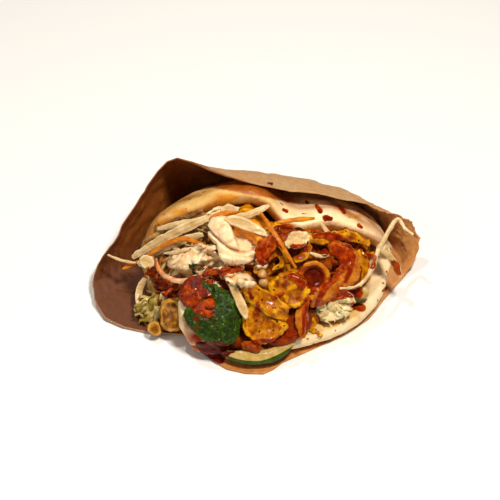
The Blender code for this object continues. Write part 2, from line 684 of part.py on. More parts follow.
def core(name, first_x, last_x, sink, rings=9):
    """The inside of the filling from one x to another, from the mouth back to the fold."""
    sections = []
    for i in range(rings):
        x = first_x + (last_x - first_x) * i / (rings - 1)
        reach = math.sqrt(max(0.04, 1 - (x / HALF_LENGTH) ** 2))
        end = math.sin(math.pi * (i + 0.8) / (rings + 0.6)) ** 0.3
        points = []
        for w in (-50, -30, -8, 15, 31, 42):
            w = w * reach * (0.9 if w > 0 else 1.0) + 6
            points.append(mouth(x, w, heap_front(x, w) - sink + 2.5 * noise.noise(
                Vector((x / 9.0, w / 9.0, 0.0)))))
        for y, z in ((22, 58), (46, 33), (52, 14), (0, 12)):
            points.append(Vector((x, CORNER_Y + (y - CORNER_Y) * reach,
                                  BED + BREAD + (z - BED - BREAD) * reach)))
        middle = sum(points, Vector()) / len(points)
        sections.append([middle + (p - middle) * end for p in points])
        for point in sections[-1]:
            point.x = x
    return loft(name, sections)


def make_heaps():
    slaw = core("slaw_heap", -73.0, -31.0, 3.0)
    meat = core("chicken_heap", -29.5, 73.0, 3.0, 12)
    scraps = []
    spots = ((-20, -4, 9), (8, 30, 9), (26, 28, 9), (42, 30, 8), (60, 22, 7), (42, 4, 9),
             (-20, -44, 9), (36, -44, 9), (70, 8, 7), (16, -52, 9))
    for i, (u, w, size) in enumerate(spots):
        scraps.append(blob("scrap", (u, w, heap_front(u, w) - 1.5), (size, 0.6 * size, 5.0), 0.45,
                           60 + i, 2, 47 * i))
    fuse(meat, scraps)
    shreds = []
    rows = ((-74, 22, 30), (-62, 31, 30), (-48, 37, 20), (-66, 4, 40), (-76, -10, -60),
            (-60, -14, 35), (-70, -26, -30), (-46, 14, 25), (-40, 28, -20), (-36, 12, -35))
    for i, (u, w, slope) in enumerate(rows):
        lie = math.radians(slope)
        half = Vector((math.cos(lie), math.sin(lie), 0.0)) * 8.5
        points = ((u - half.x, w - half.y, -2.0), (u, w, 1.0), (u + half.x, w + half.y, -2.0))
        shreds.append(strip("shred", on_heap(points, -1.6), 4.4, 3.4, steps=2, sides=5,
                            twist=25 * math.sin(i * 1.7)))
    fuse(slaw, shreds)
    return [meat, slaw]


# ---------------------------------------------------------------- colours

# Colour and roughness of each material, and the pieces that take it.
FINISHES = {
    "kraft_paper": ("b5763c", 0.85, ("paper_wrap",)),
    "pita_bread": ("e6c489", 0.70, ("pita",)),
    "roast_chicken": ("c98216", 0.42, (
        "chicken_front", "chicken_flap", "chicken_middle", "chicken_roll", "chicken_ring", "chicken_long",
        "chicken_edge", "chicken_scrap", "chicken_heap")),
    "barbecue_sauce": ("7a2008", 0.22, (
        "chicken_curl", "chicken_glazed", "chicken_drip", "sauced_scrap", "sauced_flake")),
    "cabbage": ("e6d2a4", 0.45, (
        "slaw_heap", "cabbage_tuft", "cabbage_strip_1", "cabbage_strip_2", "cabbage_strip_3",
        "cabbage_hook", "cabbage_thread", "cabbage_curve", "cabbage_rib", "cabbage_leaf",
        "cabbage_flat", "white_rib", "onion_stub", "radish_thread", "onion_strand_1",
        "onion_strand_2", "onion_pearl", "sprout", "sauced_sprout", "sprout_knot")),
    "carrot": ("e8812a", 0.45, (
        "carrot_stick", "carrot_arc", "carrot_top", "carrot_strip", "carrot_tip",
        "carrot_chunk", "onion_ring")),
    "garlic_sauce": ("f1dfc0", 0.35, ("garlic_sauce",)),
    "egg_white": ("ecdcc0", 0.35, ("egg_half",)),
    "herb_sauce": ("35500f", 0.35, ("green_sauce",)),
    "chili_sauce": ("96230c", 0.25, ("chili_sauce", "chili_lump", "chili_streak")),
    "tomato": ("9c2410", 0.25, ("tomato_slice",)),
    "cucumber": ("b9b060", 0.35, ("cucumber_slice", "pickle")),
    "lettuce": ("c0ba5c", 0.45, ("lettuce_left", "lettuce_right")),
    "fried_potato": ("bd7f22", 0.50, ("potato_1", "potato_2")),
    "chickpea": ("d8ab6c", 0.45, ("chickpea_1", "chickpea_2")),
}


def linear(channel):
    return channel / 12.92 if channel <= 0.04045 else ((channel + 0.055) / 1.055) ** 2.4


def paint():
    for name, (code, roughness, names) in FINISHES.items():
        material = bpy.data.materials.new(name)
        material.use_nodes = True
        shader = material.node_tree.nodes["Principled BSDF"]
        colour = [linear(int(code[i:i + 2], 16) / 255) for i in (0, 2, 4)]
        shader.inputs["Base Color"].default_value = (*colour, 1.0)
        shader.inputs["Roughness"].default_value = roughness
        shader.inputs["Metallic"].default_value = 0.0
        material.diffuse_color = (*colour, 1.0)
        for node in names:
            mesh = bpy.data.objects[node].data
            mesh.materials.clear()
            mesh.materials.append(material)
            mesh.shade_smooth()
            mesh.set_sharp_from_angle(angle=math.radians(50))


def build():
    sauces = make_sauces()
    garlic = make_garlic_sauce()
    egg = make_egg()
    shreds = make_shreds()
    small = make_small_round()
    chicken = make_chicken()
    vegetables = make_vegetables()
    nest = tuft("cabbage_tuft", (-48, 3, 6.0), 12.0, 7, 4.2,
                ((-48, 3, heap_front(-48, 3) + 1.0), (14, 9, 6.5)), 7)
    heaps = make_heaps()
    bread = make_pita()
    paper = make_paper()
    bread_room = make_pita("pita_room", 1.6 * GAP)
    pieces.objects.unlink(bread_room)
    cutters.objects.link(bread_room)
    carve_in_turn([paper, bread] + shreds + sauces + small + vegetables[:4] + [garlic] + chicken
                  + vegetables[4:] + [egg, nest] + heaps, {"pita": bread_room})
    for piece in pieces.objects:
        if piece not in (bread, paper):
            merge_flat_faces(piece, MERGE_ANGLE)
    paint()


clear_scene()
pieces = bpy.data.collections.new("pita_sandwich")
cutters = bpy.data.collections.new("cutters")
for group in (pieces, cutters):
    bpy.context.scene.collection.children.link(group)
cutters.hide_render = True
build()
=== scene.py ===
"""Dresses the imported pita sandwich: bread, paper pocket, slaw, roast chicken, sauces and stage."""

import json
import math

import bmesh
import bpy
import numpy as np
from bpy.props import FloatProperty, FloatVectorProperty, IntProperty, PointerProperty
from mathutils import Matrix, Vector, noise
from mathutils.bvhtree import BVHTree

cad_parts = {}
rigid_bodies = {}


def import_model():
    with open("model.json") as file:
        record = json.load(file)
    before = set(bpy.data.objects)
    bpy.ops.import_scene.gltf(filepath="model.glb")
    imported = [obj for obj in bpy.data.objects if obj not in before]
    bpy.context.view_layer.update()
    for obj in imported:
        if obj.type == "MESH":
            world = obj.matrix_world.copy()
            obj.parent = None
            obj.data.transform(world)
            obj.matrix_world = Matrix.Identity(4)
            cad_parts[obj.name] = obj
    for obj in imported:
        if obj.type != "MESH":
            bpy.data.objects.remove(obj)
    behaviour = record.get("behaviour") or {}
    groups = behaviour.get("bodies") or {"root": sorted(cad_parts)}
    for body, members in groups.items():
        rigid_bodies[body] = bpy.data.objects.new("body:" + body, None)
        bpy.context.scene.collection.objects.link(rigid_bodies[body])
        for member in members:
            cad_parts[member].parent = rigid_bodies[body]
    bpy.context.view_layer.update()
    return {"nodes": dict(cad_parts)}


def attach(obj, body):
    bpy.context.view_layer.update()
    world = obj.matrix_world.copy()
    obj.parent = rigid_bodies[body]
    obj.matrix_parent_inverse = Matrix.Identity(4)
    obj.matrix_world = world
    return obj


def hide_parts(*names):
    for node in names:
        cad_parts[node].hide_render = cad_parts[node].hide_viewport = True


bl_info = {
    "name": "Pita Sandwich",
    "version": (1, 0, 0),
    "blender": (4, 5, 0),
    "location": "View3D > Sidebar > Pita",
    "description": "Builds a stuffed pita in its paper pocket, piece by piece",
    "category": "Add Mesh",
}

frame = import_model()

MM = 0.001
LEAN = math.radians(48.0)
# The mouth plane of the pita: u runs along X, w up the plane and d out of the mouth, in mm.
MOUTH = Vector((3.6, -27.4, 44.5))
UP = Vector((0.0, math.sin(LEAN), math.cos(LEAN)))
OUT = Vector((0.0, -math.cos(LEAN), math.sin(LEAN)))


# ------------------------------------------------------------------ helpers

def hex_colour(code):
    """Linear colour of an sRGB hex value."""
    parts = [int(code[i:i + 2], 16) / 255 for i in (0, 2, 4)]
    return [p / 12.92 if p <= 0.04045 else ((p + 0.055) / 1.055) ** 2.4 for p in parts]


def colour_prop(name, description, code):
    """A colour setting whose default is an sRGB hex value."""
    return FloatVectorProperty(name=name, description=description, subtype="COLOR", size=3,
                               min=0.0, max=1.0, default=hex_colour(code))


def mouth(u, w, d=0.0):
    """The point in metres at u, w, d of the mouth plane."""
    return (MOUTH + Vector((u, 0.0, 0.0)) + UP * w + OUT * d) * MM


def rows_of(items, name):
    """A vector property of mesh items, as one row of three for each."""
    flat = np.empty(len(items) * 3, np.float32)
    items.foreach_get(name, flat)
    return flat.reshape(-1, 3).astype(float)


def points_of(mesh):
    return rows_of(mesh.vertices, "co")


def normals_of(mesh):
    return rows_of(mesh.vertex_normals, "vector")


def facing(mesh, way):
    """How far each point's normal turns towards a direction, -1 to 1."""
    return normals_of(mesh) @ np.array(way)


def place_points(mesh, points):
    mesh.vertices.foreach_set("co", points.astype(np.float32).ravel())
    mesh.update()


def in_mouth(points):
    """u, w, d in millimetres of points in metres."""
    away = points / MM - np.array(MOUTH)
    return away[:, 0], away @ np.array(UP), away @ np.array(OUT)


def waves(points, size, seed=0.0, stretch=(1.0, 1.0, 1.0)):
    """Smooth noise from -1 to 1 at points in metres, its features size millimetres across."""
    places = points / (size * MM) * np.array(stretch) + seed * 7.31
    return np.array([noise.noise(place) for place in places.tolist()])


def crumple(points, size, seed=0.0):
    """0 along sharp creases, 1 in the middle of the facets between them."""
    places = points / (size * MM) + seed * 7.31
    found = np.empty(len(places))
    for i, place in enumerate(places.tolist()):
        near = noise.voronoi(place)[0]
        found[i] = near[1] - near[0]
    return np.clip(1.6 * found, 0.0, 1.0)


def nearest(u, w, spots):
    """Squared distance to the nearest spot, 1 at its rim; a spot is u, w and its two radii."""
    return np.min([((u - cu) / ru) ** 2 + ((w - cw) / rw) ** 2 for cu, cw, ru, rw in spots],
                  axis=0)


def step(values, low, high):
    """Rises smoothly from 0 at low to 1 at high."""
    t = np.clip((values - low) / (high - low), 0.0, 1.0)
    return t * t * (3 - 2 * t)


def neighbour_mean(mesh, values, rounds=1):
    """Values at the points, each mixed with those of its neighbours."""
    ends = np.empty(len(mesh.edges) * 2, np.int32)
    mesh.edges.foreach_get("vertices", ends)
    a, b = ends[::2], ends[1::2]
    count = len(mesh.vertices)
    links = np.maximum(np.bincount(a, minlength=count) + np.bincount(b, minlength=count), 1)
    for _ in range(rounds):
        total = np.bincount(a, values[b], count) + np.bincount(b, values[a], count)
        values = total / links
    return values


def ridges(mesh, rounds=10):
    """Above 0 on outer edges and tips, below 0 in hollows, about -1 to 1."""
    points = points_of(mesh)
    means = np.stack([neighbour_mean(mesh, points[:, i], rounds) for i in range(3)], axis=1)
    rise = ((points - means) * normals_of(mesh)).sum(axis=1)
    return np.clip(rise / (2.2 * np.abs(rise).mean() + 1e-9), -1.0, 1.0)


def move_out(mesh, heights):
    """Moves the points along their normals by heights in millimetres."""
    place_points(mesh, points_of(mesh) + normals_of(mesh) * (heights * MM)[:, None])


def note(mesh, name, values):
    """Keeps a value at every point for the materials to read."""
    if name in mesh.attributes:
        mesh.attributes.remove(mesh.attributes[name])
    layer = mesh.attributes.new(name, "FLOAT", "POINT")
    layer.data.foreach_set("value", np.asarray(values, np.float32))


def plain(piece):
    """Turns what the modifiers give into the piece's own mesh."""
    graph = bpy.context.evaluated_depsgraph_get()
    mesh = bpy.data.meshes.new_from_object(piece.evaluated_get(graph))
    piece.modifiers.clear()
    old = piece.data
    piece.data = mesh
    bpy.data.meshes.remove(old)
    return mesh


def link(name, data):
    piece = bpy.data.objects.new(name, data)
    bpy.context.scene.collection.objects.link(piece)
    return piece


def copy_of(node, grid=0.0, rounds=4):
    """A whole-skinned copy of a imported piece, laid over an even grid and softened."""
    shape = bmesh.new()
    shape.from_mesh(frame["nodes"][node].data)
    bmesh.ops.remove_doubles(shape, verts=shape.verts, dist=2e-6)
    bmesh.ops.recalc_face_normals(shape, faces=shape.faces)
    mesh = bpy.data.meshes.new(node + "_dressed")
    shape.to_mesh(mesh)
    shape.free()
    mesh.materials.clear()
    piece = link(node + "_dressed", mesh)
    if grid:
        remesh = piece.modifiers.new("Grid", "REMESH")
        remesh.mode = "VOXEL"
        remesh.voxel_size = grid * MM
        smooth = piece.modifiers.new("Soften", "SMOOTH")
        smooth.factor = 0.5
        smooth.iterations = rounds
        plain(piece)
    return piece


def settle(piece, material, slot, *nodes):
    """Gives a finished piece its material and body, and hides the pieces it stands for; slot is not
    used.
    """
    piece.data.materials.clear()
    piece.data.materials.append(material)
    piece.data.shade_smooth()
    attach(piece, "root")
    if nodes:
        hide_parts(*nodes)
    return piece


def add(tree, kind, feeds=None, stops=None, **settings):
    """Adds a node with its settings.

    feeds maps a socket's name or number to a value, to the socket behind it or to a node, for its
    first output. stops are the places and hex colours of a colour ramp.
    """
    node = tree.nodes.new(kind)
    for name, value in settings.items():
        setattr(node, name, value)
    for key, value in (feeds or {}).items():
        if isinstance(value, bpy.types.Node):
            value = value.outputs[0]
        if isinstance(value, bpy.types.NodeSocket):
            tree.links.new(value, node.inputs[key])
        else:
            node.inputs[key].default_value = value
    for i, (position, code) in enumerate(stops or ()):
        elements = node.color_ramp.elements
        element = elements[i] if i < len(elements) else elements.new(position)
        element.position = position
        element.color = (*hex_colour(code), 1.0)
    return node


WET_BELOW = 0.25  # a layer that is less rough than this is liquid and hides the relief


def make_finish(name, tones, size, roughness, bump=0.2, grain=0.9, stretch=(1.0, 1.0, 1.0),
                layers=(), specks=None, shader=None, beaded=False):
    """A finish of mottled ground, laid over with layers where the piece's own values say.

    tones are the ground's hex colours from its hollows up, size and grain the millimetres of its
    broad and fine pattern, and bump the depth of the fine one. A layer is (value name, dark hex,
    light hex, roughness, softness of its edge). specks are (hex, spacing, width). A beaded
    finish has a wet coat that follows the fine pattern, and so glints in many small points.
    """
    material = bpy.data.materials.new(name)
    material.use_nodes = True
    tree = material.node_tree
    tree.nodes.clear()
    place = add(tree, "ShaderNodeTexCoord").outputs["Object"]
    patterns = []
    for width, detail, harshness in ((size, 5.0, 0.6), (grain, 3.0, 0.55)):
        scaled = add(tree, "ShaderNodeMapping", {
            "Vector": place, "Scale": [s / (width * MM) for s in stretch]})
        patterns.append(add(tree, "ShaderNodeTexNoise", {
            "Vector": scaled, "Scale": 1.0, "Detail": detail, "Roughness": harshness}))
    mottle, fine = patterns
    spread = [0.3 + 0.4 * i / (len(tones) - 1) for i in range(len(tones))]
    colour = add(tree, "ShaderNodeValToRGB", {"Fac": mottle}, zip(spread, tones))
    rough = add(tree, "ShaderNodeMapRange", {
        "Value": fine, "From Min": 0.3, "From Max": 0.7,
        "To Min": max(roughness - 0.07, 0.04), "To Max": roughness + 0.08})
    height = fine
    for value_name, dark, light, layer_roughness, soft in layers:
        amount = add(tree, "ShaderNodeAttribute", attribute_name=value_name).outputs["Fac"]
        torn = add(tree, "ShaderNodeMath", {0: fine, 1: 0.5, 2: amount}, operation="MULTIPLY_ADD")
        mask = add(tree, "ShaderNodeMapRange", {
            "Value": torn, "From Min": 0.75 - soft, "From Max": 0.75 + soft})
        tint = add(tree, "ShaderNodeValToRGB", {"Fac": mottle}, ((0.35, dark), (0.65, light)))
        colour = add(tree, "ShaderNodeMix", {0: mask, 6: colour, 7: tint},
                     data_type="RGBA").outputs[2]
        rough = add(tree, "ShaderNodeMix", {0: mask, 2: rough, 3: layer_roughness})
        if layer_roughness < WET_BELOW:
            height = add(tree, "ShaderNodeMix", {0: mask, 2: height, 3: 0.5})
    if specks:
        code, spacing, width = specks
        cells = add(tree, "ShaderNodeTexVoronoi", {"Vector": place,
                                                   "Scale": 1.0 / (spacing * MM)})
        dot = add(tree, "ShaderNodeMath", {0: cells, 1: 0.5 * width / spacing},
                  operation="LESS_THAN")
        some = add(tree, "ShaderNodeMath", {0: cells.outputs["Color"], 1: 0.5},
                   operation="GREATER_THAN")
        both = add(tree, "ShaderNodeMath", {0: dot, 1: some}, operation="MULTIPLY")
        colour = add(tree, "ShaderNodeMix", {0: both, 6: colour, 7: (*hex_colour(code), 1.0)},
                     data_type="RGBA").outputs[2]
    relief = add(tree, "ShaderNodeBump", {"Strength": 1.0, "Distance": bump * MM,
                                          "Height": height})
    principled = add(tree, "ShaderNodeBsdfPrincipled", {
        "Base Color": colour, "Roughness": rough, "Normal": relief, **(shader or {}),
        **({"Coat Normal": relief} if beaded else {})})
    add(tree, "ShaderNodeOutputMaterial", {"Surface": principled})
    return material


# ------------------------------------------------------------------ scattered and poured pieces

def scatter_tree(name, strand, material):
    """Geometry Nodes: shreds or flattened scraps laid over a surface where its room value allows.

    Returns the tree and the identifiers of its named inputs.
    """
    tree = bpy.data.node_groups.new(name, "GeometryNodeTree")
    tree.interface.new_socket("Geometry", in_out="INPUT", socket_type="NodeSocketGeometry")
    sockets = {key: tree.interface.new_socket(key, in_out="INPUT", socket_type=kind).identifier
               for key, kind in (("Spacing", "NodeSocketFloat"), ("Size", "NodeSocketVector"),
                                 ("Along", "NodeSocketVector"), ("Turn", "NodeSocketFloat"),
                                 ("Bend", "NodeSocketFloat"), ("Bend size", "NodeSocketFloat"),
                                 ("Seed", "NodeSocketInt"))}
    tree.interface.new_socket("Geometry", in_out="OUTPUT", socket_type="NodeSocketGeometry")
    given = add(tree, "NodeGroupInput").outputs
    room = add(tree, "GeometryNodeInputNamedAttribute", {"Name": "room"})
    spread = add(tree, "GeometryNodeDistributePointsOnFaces", {
        "Mesh": given["Geometry"], "Distance Min": given["Spacing"], "Density Max": 3.0e6,
        "Density Factor": room, "Seed": given["Seed"]}, distribute_method="POISSON")
    if strand:
        shape = add(tree, "GeometryNodeMeshCylinder", {
            "Vertices": 5, "Side Segments": 8, "Radius": 0.5, "Depth": 1.0})
    else:
        shape = add(tree, "GeometryNodeMeshIcoSphere", {"Radius": 0.5, "Subdivisions": 2})
    flat = add(tree, "FunctionNodeAlignRotationToVector", {"Vector": spread.outputs["Normal"]},
               axis="Y")
    along = add(tree, "FunctionNodeAlignRotationToVector", {
        "Rotation": flat, "Vector": given["Along"]}, axis="Z", pivot_axis="Y")
    back = add(tree, "ShaderNodeMath", {0: given["Turn"], 1: -1.0}, operation="MULTIPLY")
    angle = add(tree, "FunctionNodeRandomValue", {
        2: back, 3: given["Turn"], "Seed": given["Seed"]}, data_type="FLOAT").outputs[1]
    swing = add(tree, "FunctionNodeAxisAngleToRotation", {
        "Axis": (0.0, 1.0, 0.0), "Angle": angle})
    turned = add(tree, "FunctionNodeRotateRotation", {
        "Rotation": along, "Rotate By": swing}, rotation_space="LOCAL")
    size = add(tree, "FunctionNodeRandomValue", {
        0: (0.6, 0.7, 0.55), 1: (1.35, 1.3, 1.45), "Seed": 3}, data_type="FLOAT_VECTOR")
    sized = add(tree, "ShaderNodeVectorMath", {0: size, 1: given["Size"]}, operation="MULTIPLY")
    laid = add(tree, "GeometryNodeInstanceOnPoints", {
        "Points": spread, "Instance": shape, "Rotation": turned, "Scale": sized})
    own = add(tree, "FunctionNodeRandomValue", {2: 0.0, 3: 1.0, "Seed": 8},
              data_type="FLOAT").outputs[1]
    toned = add(tree, "GeometryNodeStoreNamedAttribute", {
        "Geometry": laid, "Name": "tone", "Value": own}, data_type="FLOAT", domain="INSTANCE")
    real = add(tree, "GeometryNodeRealizeInstances", {"Geometry": toned})
    tone = add(tree, "GeometryNodeInputNamedAttribute", {"Name": "tone"})
    apart = add(tree, "ShaderNodeMath", {0: tone, 1: 40.0}, operation="MULTIPLY")
    place = add(tree, "ShaderNodeVectorMath", {
        0: add(tree, "GeometryNodeInputPosition"), 1: given["Bend size"]}, operation="DIVIDE")
    sway = add(tree, "ShaderNodeTexNoise", {
        "Vector": place, "W": apart, "Scale": 1.0, "Detail": 1.0}, noise_dimensions="4D")
    centred = add(tree, "ShaderNodeVectorMath", {0: sway.outputs["Color"], 1: (0.5, 0.5, 0.5)},
                  operation="SUBTRACT")
    bent = add(tree, "ShaderNodeVectorMath", {0: centred, "Scale": given["Bend"]},
               operation="SCALE")
    moved = add(tree, "GeometryNodeSetPosition", {"Geometry": real, "Offset": bent})
    finished = add(tree, "GeometryNodeSetMaterial", {"Geometry": moved, "Material": material})
    add(tree, "NodeGroupOutput", {0: finished})
    return tree, sockets


LOWEST = 0.9  # height in mm above the floor that no scattered shred goes under


def scatter(name, host, node, slot, strand=True, **values):
    """Lays real small pieces over the dressed core of a heap."""
    piece = link(name, host.data.copy())
    tree, sockets = scatter_tree(name, strand, FINISHES[slot])
    modifier = piece.modifiers.new("Scatter", "NODES")
    modifier.node_group = tree
    for key, value in values.items():
        modifier[sockets[key.replace("_", " ").capitalize()]] = value
    mesh = plain(piece)
    points = points_of(mesh)
    points[:, 2] = np.maximum(points[:, 2], LOWEST * MM)
    place_points(mesh, points)
    note(mesh, "sauce", 0.9 * sauce_at(points, 5.0))
    # Painted shade in the gaps between the pieces.
    note(mesh, "hollow", hollow_at(points))
    note(mesh, "edge", np.zeros(len(points)))
    return settle(piece, FINISHES[slot], slot, node)


def ground_of(names):
    """A search tree over the skins of finished pieces."""
    shape = bmesh.new()
    for name in names:
        shape.from_mesh(bpy.data.objects[name].data)
    tree = BVHTree.FromBMesh(shape)
    shape.free()
    return tree


def pour(name, ground, runs, slot, depth, ragged=0.4, grain=4.0, seed=1.0, cell=0.42,
         reach=2.4, even=0.6):
    """Sauce that lies on whatever is under it: runs are chains of (u, w, radius) in mm.

    depth is its thickness, ragged and grain how torn and how finely its outline is, cell its
    mesh size, reach the tallest step it clings across, and even how far it fills hollows.
    """
    margin, film, sunk = 2.0, 0.04, 0.3
    circles = np.array([stop for run in runs for stop in run], float)
    low = (circles[:, :2] - circles[:, 2:]).min(axis=0) - margin
    high = (circles[:, :2] + circles[:, 2:]).max(axis=0) + margin
    us, ws = (np.arange(low[i], high[i], cell) for i in (0, 1))
    u, w = (grid.ravel() for grid in np.meshgrid(us, ws, indexing="ij"))
    flat = np.array([MOUTH]) + np.outer(u, (1, 0, 0)) + np.outer(w, UP)
    amount = np.full(len(u), -9.0)
    for run in runs:
        for (u0, w0, r0), (u1, w1, r1) in zip(run, run[1:] or run):
            along = np.array((u1 - u0, w1 - w0), float)
            t = np.clip(((u - u0) * along[0] + (w - w0) * along[1])
                        / max(along @ along, 1e-9), 0.0, 1.0)
            gap = np.hypot(u - u0 - t * along[0], w - w0 - t * along[1])
            amount = np.maximum(amount, 1.0 - gap / (r0 + t * (r1 - r0)))
    amount += ragged * (waves(flat * MM, grain, seed) + 0.5 * waves(flat * MM, grain / 2.2, seed))
    hits = {}
    for i in np.flatnonzero(amount > -0.02):
        found = ground.ray_cast(Vector(flat[i] * MM) + OUT * 0.06, -OUT, 0.12)
        if found[0] is not None:
            hits[i] = (found[0] / MM - MOUTH) @ OUT
    rows = len(ws)
    cells = []
    for i in hits:
        corners = (i, i + rows, i + rows + 1, i + 1)
        if (i + 1) % rows and all(c in hits for c in corners):
            heights = [hits[c] for c in corners]
            if max(heights) - min(heights) < reach:
                cells.append(corners)
    used = sorted({c for corners in cells for c in corners})
    index = {c: n for n, c in enumerate(used)}
    top = [[index[c] for c in corners] for corners in cells]
    count = len(used)
    mesh = bpy.data.meshes.new(name)
    mesh.from_pydata(np.zeros((count, 3)), [], top)
    rest = np.array([hits[c] for c in used])
    thick = depth * np.sqrt(step(amount[used], 0.0, 0.55))
    rounds = 6 + int(24 * max(even - 0.6, 0.0))
    filled = np.maximum(rest, neighbour_mean(mesh, rest, rounds))
    level = even * filled + (1 - even) * rest + thick + film
    out = np.array(OUT)
    skin = flat[used] + np.outer(level, out)
    under = flat[used] + np.outer(rest - sunk, out)
    sides = set()
    for corners in top:
        for a, b in zip(corners, corners[1:] + corners[:1]):
            if (b, a) in sides:
                sides.remove((b, a))
            else:
                sides.add((a, b))
    walls = [(b, a, a + count, b + count) for a, b in sorted(sides)]
    bottom = [[c + count for c in reversed(corners)] for corners in top]
    mesh.clear_geometry()
    mesh.from_pydata(np.concatenate([skin, under]) * MM, [], top + bottom + walls)
    mesh.update()
    rim = 1 - step(amount[used], 0.05, 0.4)
    note(mesh, "edge", np.concatenate([rim, rim]))
    return settle(link(name, mesh), FINISHES[slot], slot)


# ------------------------------------------------------------------ finishes

WET = {"Coat Weight": 0.28, "Coat Roughness": 0.04, "Specular IOR Level": 0.04}
OILED = {"Coat Weight": 0.22, "Coat Roughness": 0.05, "Specular IOR Level": 0.04}
MOIST = {"Coat Weight": 0.15, "Coat Roughness": 0.12, "Specular IOR Level": 0.2,
         "Subsurface Weight": 0.10, "Subsurface Radius": (0.6, 0.4, 0.2),
         "Subsurface Scale": 0.002}
# The layer of barbecue sauce that runs over most pieces.
SAUCE = ("sauce", "5e1600", "a84404", 0.12, 0.16)


